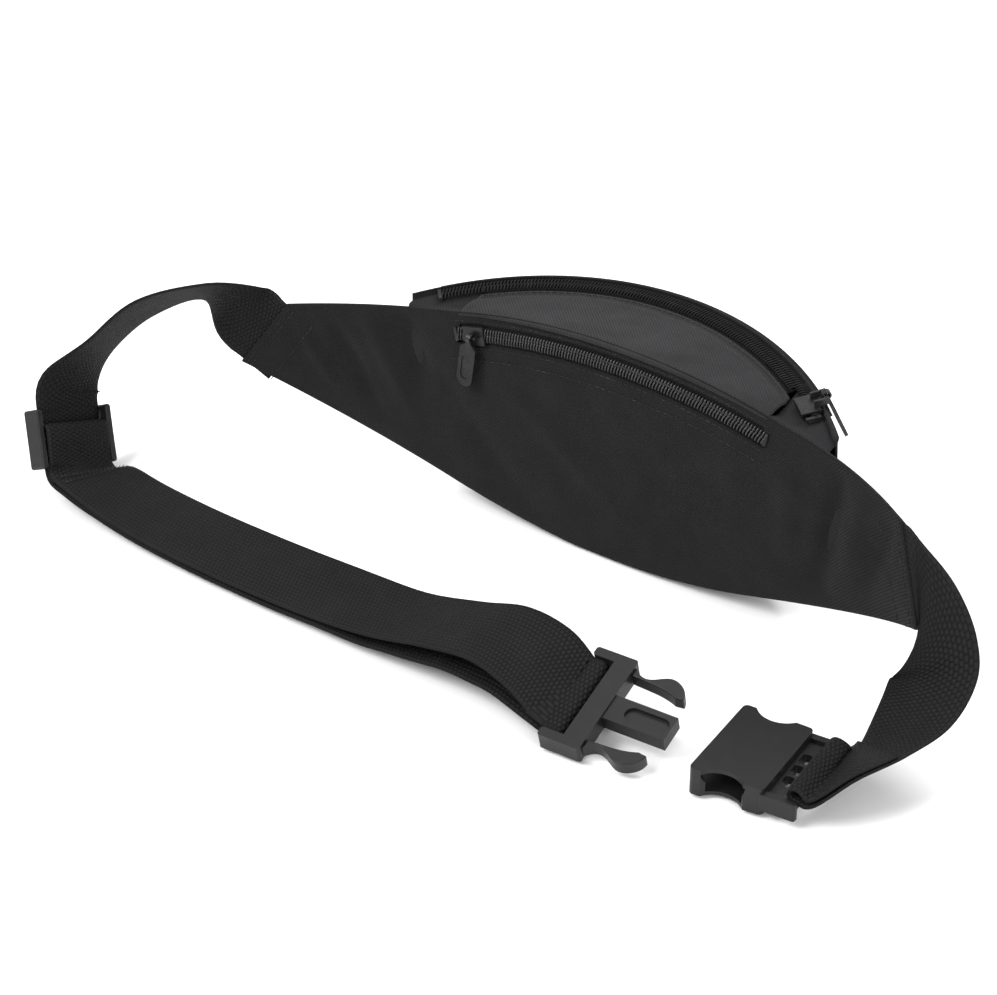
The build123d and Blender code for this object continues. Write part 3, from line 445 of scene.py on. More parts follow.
def crossing(u, radius):
    """How far up its line the u-th line meets a circle of the back zip, and at what angle."""
    foot, head = boat_line(u)
    low, high = 0.0, 1.0
    for _ in range(40):
        v = (low + high) / 2
        x, z = (foot[k] + (head[k] - foot[k]) * v for k in (0, 1))
        if sqrt((x - CENTRE_X) ** 2 + (z - ARCH_Z) ** 2) < radius:
            low = v
        else:
            high = v
    return v, degrees(atan2(z - ARCH_Z, x - CENTRE_X))


def slot_span(u):
    """The slot's lower and upper edges on the u-th line, and whether the line crosses the slot."""
    low, angle = crossing(u, BACK_CHAIN - FOLD)
    if angle > BACK_ZIP[1] + 0.35 or angle < BACK_ZIP[0] - 0.35:
        end = slot_ends[0] if angle > 90 else slot_ends[1]
        return *end, False
    return low, crossing(u, BACK_CHAIN + FOLD)[0], True


slot_ends = [(crossing(u, BACK_CHAIN - FOLD)[0], crossing(u, BACK_CHAIN + FOLD)[0]) for u in (0.312, 0.757)]

WING_FOLDS = (   # middle x and z, lean of the crease, half length, half width, depth towards the inside
    (117, 58, 0.15, 28, 5.5, 4.2), (131, 60, 0.25, 24, 6.0, -2.6), (147, 62, 0.35, 22, 5.0, 2.6),
    (-102, 72, -0.30, 18, 6.0, 3.4), (-116, 62, -0.50, 22, 6.5, -2.4), (-134, 56, -0.55, 20, 5.5, 2.6),
    (-152, 56, -0.60, 15, 5.0, -1.6), (96, 62, 0.05, 24, 7.0, -2.2), (-60, 30, -0.9, 28, 10.0, 1.6),
    (40, 26, 1.1, 30, 11.0, 1.5), (-20, 46, -1.4, 22, 9.0, -1.2))


def fold_depth(x, z):
    depth = 0.0
    for mid_x, mid_z, lean, half, width, deep in WING_FOLDS:
        along = (z - mid_z)
        off = (x - mid_x) - lean * along
        depth += deep * exp(-(off / width) ** 2 - (along / half) ** 2)
    return depth


def panel_relief(x, z, edge):
    """How far the panel's cloth stands in (positive) from its true surface."""
    calm = smooth(edge, 0.0, 9.0)
    at = (x, 0, z)
    broad = 1.1 * ripple(at, 38.0, 3.1) + 0.45 * ripple(at, 15.0, 7.7) + 0.12 * ripple(at, 5.0, 1.3)
    return calm * (broad + fold_depth(x, z))


def panel_edge(x, z):
    """Distance from a point of the panel to its nearest seam or to the zip's slot."""
    to_slot = abs(sqrt((x - CENTRE_X) ** 2 + (z - ARCH_Z) ** 2) - BACK_CHAIN) - FOLD
    angle = degrees(atan2(z - ARCH_Z, x - CENTRE_X))
    past = max(angle - BACK_ZIP[1], BACK_ZIP[0] - angle, 0.0) * 5.9
    ends = min((x - a[0]) * (b[1] - a[1]) - (z - a[1]) * (b[0] - a[0]) for a, b in
               ((LEFT_LOW, LEFT_TOP), (RIGHT_TOP, RIGHT_LOW))) / 38.5
    return max(0.0, min(z - bottom_z(x), top_z(x) - z, max(to_slot, 0.0) + past, ends))


def on_panel(x, z, lift=0.0):
    """The point of the back panel's face over a place of its outline, and the way the cloth faces."""
    plan, face = back_plan(x)
    return plan + Vector((0, 0, z)) - face * (panel_relief(x, z, panel_edge(x, z)) - lift), face


def back_panel_point(u, v):
    low, high, _ = slot_span(u)
    total = BACK_LOWER_ROWS + SLOT_ROWS + BACK_UPPER_ROWS
    row = v * total
    if row <= BACK_LOWER_ROWS:
        share = low * row / BACK_LOWER_ROWS
    elif row <= BACK_LOWER_ROWS + SLOT_ROWS:
        share = low + (high - low) * (row - BACK_LOWER_ROWS) / SLOT_ROWS
    else:
        share = high + (1 - high) * (row - BACK_LOWER_ROWS - SLOT_ROWS) / BACK_UPPER_ROWS
    foot, head = boat_line(u)
    x, z = (foot[k] + (head[k] - foot[k]) * share for k in (0, 1))
    return on_panel(x, z)[0], (x, z)


back_panel = cloth_grid("back_panel", BACK_COLUMNS, BACK_LOWER_ROWS + SLOT_ROWS + BACK_UPPER_ROWS,
                        back_panel_point, (0, -1, 0), 1.0, back_cloth,
                        left_out=lambda i, j: BACK_LOWER_ROWS <= j < BACK_LOWER_ROWS + SLOT_ROWS
                        and slot_span((i + 0.5) / BACK_COLUMNS)[2])
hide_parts("back_panel_lower", "back_panel_upper")
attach(back_panel, "pack")

# %% [markdown]
# ## Front wall and base
# The front is one bellied cloth that rises to the zip's ring and folds over towards the chain. It hangs
# loosely, so it bellies and puckers a little. The base is the boat's narrow floor.

# %% Front wall
def wall_radius(z):
    """The bellied wall's radius about its upright axis."""
    t = z / 112.0
    return 136.6 + 11.9 * sin(min(z / 50.0, 1.0) * pi / 2) - 2.5 * smooth(t, 0.45, 1.0)


def wall_place(angle, z):
    a, r = radians(angle), wall_radius(z)
    return Vector((CENTRE_X + r * cos(a), WALL_Y + r * sin(a), z))


def wall_top(angle):
    """The height at which the wall meets the ring's plane."""
    z = 95.0
    for _ in range(12):
        z = RING.z + (wall_place(angle, z).y - RING.y) * sin(RING_TILT) / cos(RING_TILT)
    return z


def wall_foot(angle):
    z = 5.0
    for _ in range(12):
        z = bottom_z(wall_place(angle, z).x)
    return z


WALL_SPAN = (42.0, 138.0)
WALL_ROWS, CUFF_ROWS = 44, 4


def wall_puckers(angle, z, top):
    calm = smooth(min(z - wall_foot(angle), top - z), 0.0, 10.0) * smooth(min(angle - 42, 138 - angle), 0, 6)
    spot = (angle * 2.5, 0, z)
    gathers = 0.5 * sin(angle * 2.9 + 1.4 * sin(angle * 0.7)) * exp(-(top - z) / 14.0)
    return calm * (2.6 * ripple(spot, 42.0, 5.2) + 0.9 * ripple(spot, 17.0, 2.2) + gathers)


def front_wall_point(u, v):
    angle = WALL_SPAN[0] + (WALL_SPAN[1] - WALL_SPAN[0]) * u
    top, foot = wall_top(angle), wall_foot(angle)
    row = v * (WALL_ROWS + CUFF_ROWS)
    z = foot + (top - foot) * min(row / WALL_ROWS, 1.0)
    place = wall_place(angle, z)
    outward = Vector((cos(radians(angle)), sin(radians(angle)), 0))
    place += outward * wall_puckers(angle, z, top)
    reach = angle * 2.56
    if row <= WALL_ROWS:
        return place, (reach, z)
    share = (row - WALL_ROWS) / CUFF_ROWS
    flat = place - RING
    inward = RING + (flat - RING_OFF * flat.dot(RING_OFF)).normalized() * (CHAIN + FOLD)
    if abs(angle - 90) > 40:
        inward = inward - RING_OFF * 0.0
    return place.lerp(inward, share) + RING_OFF * (0.9 * sin(share * pi)), (reach, z + share * 5)


front_wall = cloth_grid("front_wall", 150, WALL_ROWS + CUFF_ROWS, front_wall_point, (0, 1, 0), 1.0,
                        front_cloth)
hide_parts("front_panel")
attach(front_wall, "pack")


# %% Base
def base_point(u, v):
    x = -98.0 + 203.0 * u
    z = bottom_z(x)
    reach = max(wall_radius(z) ** 2 - (x - CENTRE_X) ** 2, 0.0)
    back = back_plan(x, 0.4)[0].y
    front = max(WALL_Y + sqrt(reach), back + 0.5)
    bow = 0.0 if abs(x) < 14 else 0.7 * ripple((x, v * 40, 0), 20.0, 9.0)
    y = back + (front - back) * v
    return Vector((x, y, z + max(bow, 0.0) * smooth(min(v, 1 - v), 0.0, 0.25))), (x, y)


base_cloth = cloth_grid("base_gusset", 120, 16, base_point, (0, 0, -1), 1.0, front_cloth)
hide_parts("bottom_gusset")
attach(base_cloth, "pack")

# %% [markdown]
# ## Top flap
# The flap is a crowned half-moon. Its back edge is sewn into the seam arch and its rim carries half of
# the main zip.

# %% Top flap
RIM = CHAIN - FOLD


def flap_point(u, v):
    x = FLAP_ENDS[0] + (FLAP_ENDS[1] - FLAP_ENDS[0]) * u
    flat_x = x - RING.x
    rim_reach = sqrt(RIM ** 2 - flat_x ** 2)
    seam_reach = (BACK_Y + 0.6 - RING.y) / cos(RING_TILT)
    reach = seam_reach + (rim_reach - seam_reach) * v
    radius = sqrt(flat_x ** 2 + reach ** 2)
    place = RING + Vector((flat_x, reach * cos(RING_TILT), reach * sin(RING_TILT)))
    place += RING_OFF * ((RIM - radius) * 0.27)
    span = rim_reach - seam_reach
    edge = min(v * span, (1 - v) * span, u * 158, (1 - u) * 158)
    place.z += (top_z(x) - 0.2 - place.z) * (1 - smooth(v * span, 0.0, 7.0))
    sag = 1.0 * ripple((x, place.y, 0), 26.0, 4.4) + 0.5 * ripple((x, place.y, 0), 10.0, 8.1)
    groove = -0.55 * exp(-((RIM - radius - 3.2) / 1.0) ** 2) - 0.5 * exp(-(v * span / 1.3) ** 2)
    return place + RING_OFF * (smooth(edge, 0.0, 8.0) * sag + groove), (x, place.y)


flap = cloth_grid("top_flap_cloth", 140, 40, flap_point, (0, 0, 1), 0.9, lit_flap_cloth)
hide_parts("top_flap")
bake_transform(flap)


# %% Cloth at the zip's two ends
def end_point(from_x, to_x):
    def point(u, v):
        x = from_x + (to_x - from_x) * u
        back = back_plan(x, 0.6)[0]
        back.z = top_z(x) - 0.3
        angle = 90 - degrees(asin(min(max((x - CENTRE_X) / 146.6, -1), 1)))
        front = wall_place(angle, wall_top(angle))
        place = back.lerp(front, v)
        drop = (place - RING).dot(RING_OFF)
        sink = smooth(v, 0.0, 0.25) * (1 - smooth(v, 0.85, 1.0))
        return place - RING_OFF * (sink * (drop + 1.9)), (x, place.y)
    return point


for name, node, from_x, to_x in (("left_zip_end_cloth", "left_zip_end_gusset", FLAP_ENDS[0] + 0.4, -104.0),
                                 ("right_zip_end_cloth", "right_zip_end_gusset", FLAP_ENDS[1] - 0.4, 112.0)):
    end_cloth = cloth_grid(name, 24, 16, end_point(from_x, to_x), (0, 0, 1), 0.9, front_cloth)
    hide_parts(node)
    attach(end_cloth, "pack")

# %% [markdown]
# ## Wings, lining and bindings
# Each wing has a front cloth, so the webbing is sewn between two layers. Inside, a thin lining closes
# the back pocket, and a tape binds the seam allowance.

# %% Wings' front cloths
def wing_point(from_x, to_x):
    """from_x is at the pack, to_x at the wing's end."""
    side = -1 if to_x < 0 else 1
    low, top = (LEFT_LOW, LEFT_TOP) if side < 0 else (RIGHT_LOW, RIGHT_TOP)

    def point(u, v):
        foot_x = from_x + (low[0] - from_x) * u
        head_x = from_x + (top[0] - from_x) * u
        x = foot_x + (head_x - foot_x) * v
        z = bottom_z(foot_x) + (top_z(head_x) - bottom_z(foot_x)) * v
        plan, face = back_plan(x, 3.5)
        edge = min(v, 1 - v) * 60
        close = (1 - smooth(edge, 0.0, 5.0)) * 2.2
        bow = smooth(edge, 0.0, 10.0) * smooth(u, 0.0, 0.2) * (1 - smooth(u, 0.75, 1.0))
        relief = bow * (0.9 + 1.2 * ripple((x, 9, z), 24.0, 6.0))
        return plan + Vector((0, 0, z)) - face * (relief - close), (x, z)
    return point


for name, node, from_x, to_x in (("left_wing_cloth", "left_wing_front", -97.0, -187.0),
                                 ("right_wing_cloth", "right_wing_front", 105.0, 175.0)):
    wing = cloth_grid(name, 50, 40, wing_point(from_x, to_x), (0, 1, 0), 0.9, front_cloth)
    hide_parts(node)
    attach(wing, "pack")


# %% Lining of the back pocket
def lining_point(u, v):
    x = -76.0 + 160.0 * u
    t = (x - 4.0) / 80.0
    low = 12.0 + 46.0 * abs(t) ** 2.2
    high = 92.5 - 10.0 * abs(t) ** 3
    z = low + (high - low) * v
    return Vector((x, BACK_Y + 4.2 + 0.35 * ripple((x, 3, z), 25.0, 2.0), z)), (x, z)


lining = cloth_grid("pocket_lining", 60, 34, lining_point, (0, 1, 0), 0.4, lining_cloth)
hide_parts("back_pocket_lining")
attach(lining, "pack")


# %% Zip tapes and seam binding
def strip(name, at, radii, angles, height, thickness, facing, finish, node, body, columns=90):
    """A curved tape over a track: at(radius, angle, height) gives its points."""
    middle = sum(radii) / 2

    def point(u, v):
        angle = angles[0] + (angles[1] - angles[0]) * u
        radius = radii[0] + (radii[1] - radii[0]) * v
        return at(radius, angle, height), (radians(angle) * middle, radius)
    tape = cloth_grid(name, columns, 4, point, facing, thickness, finish)
    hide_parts(node)
    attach(tape, body)
    return tape


BACK_FACE, RING_FACE = (0, -1, 0), (0, 0, 1)
FLAP_ZIP = tuple(sorted(degrees(acos((x - RING.x) / (CHAIN - 2.9)))
                        for x in (FLAP_ENDS[0], FLAP_ENDS[1] - 3)))
strip("back_tape_lower", back_point, (BACK_CHAIN - 10.6, BACK_CHAIN - 1.1), BACK_ZIP, -1.0, 0.5, BACK_FACE,
      zip_tape_cloth, "back_zip_tape_lower", "pack")
strip("back_tape_upper", back_point, (BACK_CHAIN + 1.1, BACK_CHAIN + 8.6), BACK_ZIP, -1.0, 0.5, BACK_FACE,
      zip_tape_cloth, "back_zip_tape_upper", "pack")
strip("flap_tape", ring_point, (CHAIN - 10.6, CHAIN - 1.1), FLAP_ZIP, -1.0, 0.5, RING_FACE, zip_tape_cloth,
      "main_zip_tape_flap", "top_flap")
strip("front_tape", ring_point, (CHAIN + 1.1, CHAIN + 8.0), MAIN_ZIP, -1.0, 0.5, RING_FACE, zip_tape_cloth,
      "main_zip_tape_front", "pack")
strip("seam_binding", back_point, (ARCH_RADIUS - 4.0, ARCH_RADIUS - 1.6), BACK_ZIP, -1.8, 2.6, BACK_FACE,
      binding_cloth, "top_seam_binding", "pack")

# %% [markdown]
# ## Rows of teeth and stitches
# Coil teeth and stitches are one small piece repeated along a line, which is what Geometry Nodes are
# for. The line carries the way that the cloth faces, so each piece stands square to it.

# %% Geometry Nodes: pieces along a line
def node_in(tree, kind, links, **settings):
    """Add a geometry node and fill its inputs by name."""
    node = tree.nodes.new(kind)
    for key, value in settings.items():
        setattr(node, key, value)
    for label, value in links.items():
        if isinstance(value, bpy.types.NodeSocket):
            tree.links.new(value, node.inputs[label])
        else:
            node.inputs[label].default_value = value
    return node


row_tree = bpy.data.node_groups.new("Pieces along a line", "GeometryNodeTree")
ROW_INPUTS = {}
for label, kind in (("Line", "Geometry"), ("Piece", "Object"), ("Pitch", "Float"), ("Unevenness", "Float"),
                    ("Seed", "Int"), ("Finish", "Material")):
    socket = row_tree.interface.new_socket(name=label, in_out="INPUT", socket_type="NodeSocket" + kind)
    ROW_INPUTS[label] = socket.identifier
row_tree.interface.new_socket(name="Row", in_out="OUTPUT", socket_type="NodeSocketGeometry")
row_node = partial(node_in, row_tree)
asked = row_tree.nodes.new("NodeGroupInput").outputs
curve = row_node("GeometryNodeMeshToCurve", {"Mesh": asked["Line"]})
spaced = row_node("GeometryNodeCurveToPoints", {"Curve": curve.outputs[0], "Length": asked["Pitch"]},
                  mode="LENGTH")
faces_out = row_node("GeometryNodeInputNamedAttribute", {"Name": "off"}, data_type="FLOAT_VECTOR")
along = row_node("FunctionNodeAlignRotationToVector", {"Vector": spaced.outputs["Tangent"]}, axis="X")
upright = row_node("FunctionNodeAlignRotationToVector",
                   {"Rotation": along.outputs[0], "Vector": faces_out.outputs["Attribute"]},
                   axis="Z", pivot_axis="X")
low = row_node("ShaderNodeMath", {0: 1.0, 1: asked["Unevenness"]}, operation="SUBTRACT")
high = row_node("ShaderNodeMath", {0: 1.0, 1: asked["Unevenness"]}, operation="ADD")
sizes = row_node("FunctionNodeRandomValue", {"Seed": asked["Seed"]}, data_type="FLOAT")
row_tree.links.new(low.outputs[0], sizes.inputs[2])
row_tree.links.new(high.outputs[0], sizes.inputs[3])
piece = row_node("GeometryNodeObjectInfo", {"Object": asked["Piece"]})
placed = row_node("GeometryNodeInstanceOnPoints",
                 {"Points": spaced.outputs["Points"], "Instance": piece.outputs["Geometry"],
                  "Rotation": upright.outputs[0], "Scale": sizes.outputs[1]})
real = row_node("GeometryNodeRealizeInstances", {"Geometry": placed.outputs[0]})
coated = row_node("GeometryNodeSetMaterial", {"Geometry": real.outputs[0], "Material": asked["Finish"]})
row_node("NodeGroupOutput", {"Row": coated.outputs[0]})
print("row tree:", len(row_tree.nodes), "nodes")


# %% The small pieces that are repeated
def tube_piece(name, path, radius, sides=6):
    """A closed tube through a few points, used as one tooth or one stitch; kept out of the scene."""
    points = [Vector(p) * MM for p in path]
    rings, faces = [], []
    for k, point in enumerate(points):
        heading = (points[min(k + 1, len(points) - 1)] - points[max(k - 1, 0)]).normalized()
        side = heading.orthogonal() if k == 0 else side - heading * side.dot(heading)
        side.normalize()
        other = heading.cross(side)
        thin = 0.55 if k in (0, len(points) - 1) else 1.0
        turns = [2 * pi * s / sides for s in range(sides)]
        rings += [point + (side * cos(turn) + other * sin(turn)) * radius * MM * thin for turn in turns]
    for k in range(len(points) - 1):
        for s in range(sides):
            t = (s + 1) % sides
            faces.append((k * sides + s, k * sides + t, (k + 1) * sides + t, (k + 1) * sides + s))
    faces.append(tuple(range(sides))[::-1])
    faces.append(tuple((len(points) - 1) * sides + s for s in range(sides)))
    mesh = bpy.data.meshes.new(name)
    mesh.from_pydata(rings, [], faces)
    return bpy.data.objects.new(name, mesh)


TOOTH_LOOP = [(0.35, 2.9, -0.9), (0.36, 3.05, -0.1), (0.28, 2.7, 0.62), (0.1, 1.7, 0.92), (-0.1, 0.7, 0.88),
              (-0.2, -0.1, 0.6), (-0.2, -0.35, 0.0), (-0.15, 0.1, -0.6), (0.0, 1.4, -0.85)]
coil_tooth = tube_piece("coil tooth", TOOTH_LOOP, 0.37)
stitch = tube_piece("stitch", [(-1.15, 0, -0.25), (-0.95, 0, 0.02), (-0.4, 0, 0.14), (0.4, 0, 0.14),
                               (0.95, 0, 0.02), (1.15, 0, -0.25)], 0.2, sides=5)
print("tooth:", len(coil_tooth.data.polygons), "faces; stitch:", len(stitch.data.polygons), "faces")


def row_of(name, piece, line, pitch, finish, body, unevenness=0.03, seed=3):
    """Repeat a piece along one or more lines of (place in mm, way out); the result is a plain mesh."""
    places, edges, outs = [], [], []
    for run in line:
        start = len(places)
        places += [place * MM for place, _ in run]
        outs += [component for _, off in run for component in off]
        edges += [(start + k, start + k + 1) for k in range(len(run) - 1)]
    mesh = bpy.data.meshes.new(name)
    mesh.from_pydata(places, edges, [])
    mesh.attributes.new("off", "FLOAT_VECTOR", "POINT").data.foreach_set("vector", outs)
    obj = bpy.data.objects.new(name, mesh)
    bpy.context.collection.objects.link(obj)
    maker = obj.modifiers.new("row", "NODES")
    maker.node_group = row_tree
    for label, value in (("Piece", piece), ("Pitch", pitch * MM), ("Unevenness", unevenness), ("Seed", seed),
                         ("Finish", finish)):
        maker[ROW_INPUTS[label]] = value
    make_plain(obj)
    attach(obj, body)
    print(f"{name}: {len(obj.data.polygons)} faces")
    return obj


# %% Coils of both zips
TOOTH_PITCH = 1.5


def chain_line(at, radius, start, end, off, reverse):
    steps = 80
    angles = [start + (end - start) * k / steps for k in range(steps + 1)]
    shift = degrees(TOOTH_PITCH / 2 / radius) if reverse else 0.0
    run = [(at(radius, angle - shift, 0.05), off) for angle in angles]
    return run[::-1] if reverse else run


BACK_OFF = Vector((0, -1, 0))
for name, at, radius, off, inner, outer, nodes, bodies in (
        ("back_coil", back_point, BACK_CHAIN, BACK_OFF, BACK_ZIP, BACK_ZIP,
         ("back_zip_coil_lower", "back_zip_coil_upper"), ("pack", "pack")),
        ("main_coil", ring_point, CHAIN, RING_OFF, FLAP_ZIP, MAIN_ZIP,
         ("main_zip_coil_flap", "main_zip_coil_front"), ("top_flap", "pack"))):
    # The main zip's coils take the painted-shade copy of the nylon.
    nylon = coil_nylon if name == "back_coil" else shaded_copy_nylon
    inside = row_of(name + "_inner", coil_tooth, [chain_line(at, radius, *inner, off, False)], TOOTH_PITCH,
                    nylon, bodies[0], 0.0)
    outside = row_of(name + "_outer", coil_tooth, [chain_line(at, radius, *outer, off, True)], TOOTH_PITCH,
                     nylon, bodies[1], 0.0)
    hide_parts(nodes[0])
    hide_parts(nodes[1])
end_chain = chain_line(ring_point, CHAIN, FLAP_ZIP[1] + 0.4, MAIN_ZIP[1], RING_OFF, False)
closed_end = row_of("closed_end_coil", coil_tooth, [end_chain], TOOTH_PITCH, shaded_copy_nylon,
                    "pack", 0.0)
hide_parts("main_zip_closed_end")

# %% [markdown]
# ## The belt
# Webbing keeps its width, so each run is a row of flat sections square to its path. The long side is
# doubled: it goes out to the buckle, turns round its bar, comes back underneath and ends in a sewn fold
# round the tri-glide. The stations below are the same as the solid's.

# %% Webbing maker
WEBBING, WEB_THICK, STEPS = 38.0, 1.4, 8


def square_to(vector, along):
    return (vector - along * vector.dot(along)).normalized()


def wing_end(top, low, bend, side):
    """Middle of the webbing at a wing's end, the edge's direction (low to top) and the way out."""
    ends = [back_plan(x)[0] + Vector((0, 0, z)) for x, z in (low, top)]
    edge = (ends[1] - ends[0]).normalized()
    middle = (ends[0] + ends[1]) / 2
    slope = (abs(middle.x) - FLAT_HALF) / bend
    leave = square_to(Vector((side * sqrt(1 - slope ** 2), -slope, 0)), edge)
    return middle + Vector((side * slope, sqrt(1 - slope ** 2), 0)) * (1.1 + WEB_THICK / 2), edge, leave


def between(stations, steps, fanned=False):
    """A smooth run of sections through the stations; a fanned run keeps the stations' own widths."""
    padded = [[2 * a - b for a, b in zip(stations[0], stations[1])], *stations,
              [2 * a - b for a, b in zip(stations[-1], stations[-2])]]
    middles, widths = [], []
    for i in range(1, len(padded) - 2):
        for k in range(steps + (i == len(padded) - 3)):
            s = k / steps
            values = [0.5 * (2 * b + (c - a) * s + (2 * a - 5 * b + 4 * c - d) * s * s
                             + (3 * b - a - 3 * c + d) * s ** 3) for a, b, c, d in zip(*padded[i - 1:i + 3])]
            middles.append(Vector(values[:3]))
            widths.append(Vector(values[3:]))
    sections = []
    for i, (middle, width) in enumerate(zip(middles, widths)):
        along = (middles[min(i + 1, len(middles) - 1)] - middles[max(i - 1, 0)]).normalized()
        along = square_to(along, width.normalized()) if fanned else along
        sections.append((middle, along, square_to(width, along)))
    return sections


def shifted(sections, gaps):
    """The same run moved down by a gap that is given at evenly spaced places."""
    moved = []
    for i, (middle, along, width) in enumerate(sections):
        spot = i / (len(sections) - 1) * (len(gaps) - 1)
        low = min(int(spot), len(gaps) - 2)
        gap = gaps[low] + (gaps[low + 1] - gaps[low]) * smooth(spot - low, 0.0, 1.0)
        moved.append((middle - width.cross(along) * gap, along, width))
    return moved


def turn_back(section, radius, side=1, steps=9):
    """A half turn of the webbing about its width, to the face below (side 1) or above it."""
    middle, along, width = section
    up = width.cross(along) * side
    centre = middle - up * radius
    return [(centre + up * (radius * cos(pi * k / steps)) + along * (radius * sin(pi * k / steps)),
             along * cos(pi * k / steps) - up * sin(pi * k / steps), width) for k in range(1, steps)]


def backwards(sections):
    return [(middle, -along, width) for middle, along, width in reversed(sections)]


def length_of(sections):
    return sum((b[0] - a[0]).length for a, b in zip(sections, sections[1:]))


def webbing(name, sections, finish, across=14, thickness=1.3):
    """A closed band of webbing through its sections; its UV map runs along and across it in metres."""
    half, top = WEBBING / 2, thickness / 2
    profile = [(-half + WEBBING * k / across, top) for k in range(across + 1)] + [(half + 0.25, 0.0)]
    profile += [(x, -h) for x, h in profile[across::-1]] + [(-half - 0.25, 0.0)]
    profile = [(max(min(x, half), -half) if h else x, h * (0.72 if abs(x) > half - 0.1 else 1.0))
               for x, h in profile]
    count, places, flat, run = len(profile), [], [], 0.0
    for k, (middle, along, width) in enumerate(sections):
        run += (middle - sections[k - 1][0]).length if k else 0.0
        up = width.cross(along)
        for x, h in profile:
            cup = 0.25 * ripple(middle * 0.6 + width * x, 14.0, 5.5) * (1 if clear_of_hardware(middle) else 0)
            places.append((middle + width * x + up * (h + cup)) * MM)
            flat.append((run * MM, x * MM))
    faces = []
    for k in range(len(sections) - 1):
        for s in range(count):
            t = (s + 1) % count
            faces.append((k * count + s, (k + 1) * count + s, (k + 1) * count + t, k * count + t))
    faces.append(tuple(range(count)))
    faces.append(tuple((len(sections) - 1) * count + s for s in range(count))[::-1])
    mesh = bpy.data.meshes.new(name)
    mesh.from_pydata(places, [], faces)
    layer = mesh.uv_layers.new(name="UVMap")
    for loop in mesh.loops:
        layer.data[loop.index].uv = flat[loop.vertex_index]
    mesh.materials.append(finish)
    for polygon in mesh.polygons:
        polygon.use_smooth = True
    obj = bpy.data.objects.new(name, mesh)
    bpy.context.collection.objects.link(obj)
    work = bmesh.new()
    work.from_mesh(mesh)
    bmesh.ops.recalc_face_normals(work, faces=work.faces)
    work.to_mesh(mesh)
    work.free()
    print(f"{name}: {run:.0f} mm of webbing, {len(mesh.polygons)} faces")
    return obj


# %% Left belt
glide_centre = Vector((-226, -113.5, 22))
glide_along = Vector((0.40, -0.30, -0.87)).normalized()
glide_across = square_to(Vector((0, -0.95, 0.30)), glide_along)
male_bar = Vector((70.0, -129.5, 11.4))
male_heading = Vector((0.99, 0.10, -0.02)).normalized()
male_far = square_to(Vector((-0.09, 0.95, 0.30)), male_heading)
male_up = male_heading.cross(male_far)
MALE_LOOP, GLIDE_LOOP = 1.6 + 0.3 + WEB_THICK / 2, 1.2 + 0.3 + WEB_THICK / 2
FOLD_TAIL, FOLD_PLAY = 23.0, 4.0


def clear_of_hardware(place):
    """True where the webbing is clear of the buckle and the tri-glide, so it may ripple a little."""
    return (place - glide_centre).length > 34 and (place - male_bar).length > 24 and place.x < 150


left_end, left_edge, left_leave = wing_end(LEFT_TOP, LEFT_LOW, LEFT_BEND, -1)
left_stations = [
    (*(left_end - left_leave * 15), *left_edge),
    (*(left_end + left_leave * 1), *left_edge),
    (*(left_end + left_leave * 11), *left_edge),
    (-200, -52, 79, 0.62, -0.52, 0.58),
    (-219, -73, 73, 0.46, -0.66, 0.58),
    (-230, -92, 58, 0.40, -0.74, 0.53),
    *((*(glide_centre + glide_along * step), *glide_across) for step in (-24, -12, 0, 14.5)),
    (-205, -121, 9.6, -0.08, -0.98, 0.08),
    (-180, -123, 7.0, -0.06, -0.99, 0.00),
    (-148, -125, 6.2, -0.03, -1.00, -0.05),
    (-106, -126, 6.6, -0.01, -1.00, -0.08),
    (-64, -126, 8, 0.00, -1.00, -0.09),
    (-26, -126, 11, 0.00, -1.00, -0.04),
    (4, -126, 18, 0.00, -1.00, -0.04),
    (29, -127, 24, 0.02, -0.99, -0.14),
    (50, -129, 22, 0.00, -0.96, -0.26),
    (*(male_bar + male_up * MALE_LOOP - male_heading * 5), *(-male_far)),
    (*(male_bar + male_up * MALE_LOOP), *(-male_far)),
]
fold_under = 2 * GLIDE_LOOP
below = (0, 0, 0, 0, 0, 0, 0.5, fold_under + 0.5, fold_under + 2.4, 3.6, 3.2, 2.6, 2.6, 3.2, 3.6, 5.5, 8.5,
         12.0, 11.5, 8.0, 2 * MALE_LOOP)
upper_face = between(left_stations, STEPS)
wing_run = shifted(upper_face, below)[:-14]
wing_run += [(male_bar - male_up * MALE_LOOP - male_heading * step, male_heading, -male_far)
             for step in (5, 2.5, 0)]
glide_at = 8 * STEPS
fold_run = [(glide_centre - glide_along * FOLD_PLAY, glide_along, glide_across)] + upper_face[glide_at:-9]
fold_run += [(male_bar + male_up * MALE_LOOP - male_heading * step, male_heading, -male_far)
             for step in (5, 2.5, 0)]
tail_count = 2 + min(i for i in range(len(fold_run)) if length_of(fold_run[:i + 1]) > FOLD_TAIL)
tail_run = shifted(fold_run[:tail_count], (fold_under, fold_under, WEB_THICK + 0.4, WEB_THICK + 0.15))
returning = backwards(fold_run)
left_path = (wing_run + turn_back(wing_run[-1], MALE_LOOP, side=-1) + returning
             + turn_back(returning[-1], GLIDE_LOOP, side=-1) + tail_run)
left_belt = webbing("left_webbing", left_path, belt_webbing)
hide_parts("left_strap", "left_strap_anchor")
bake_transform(left_belt)

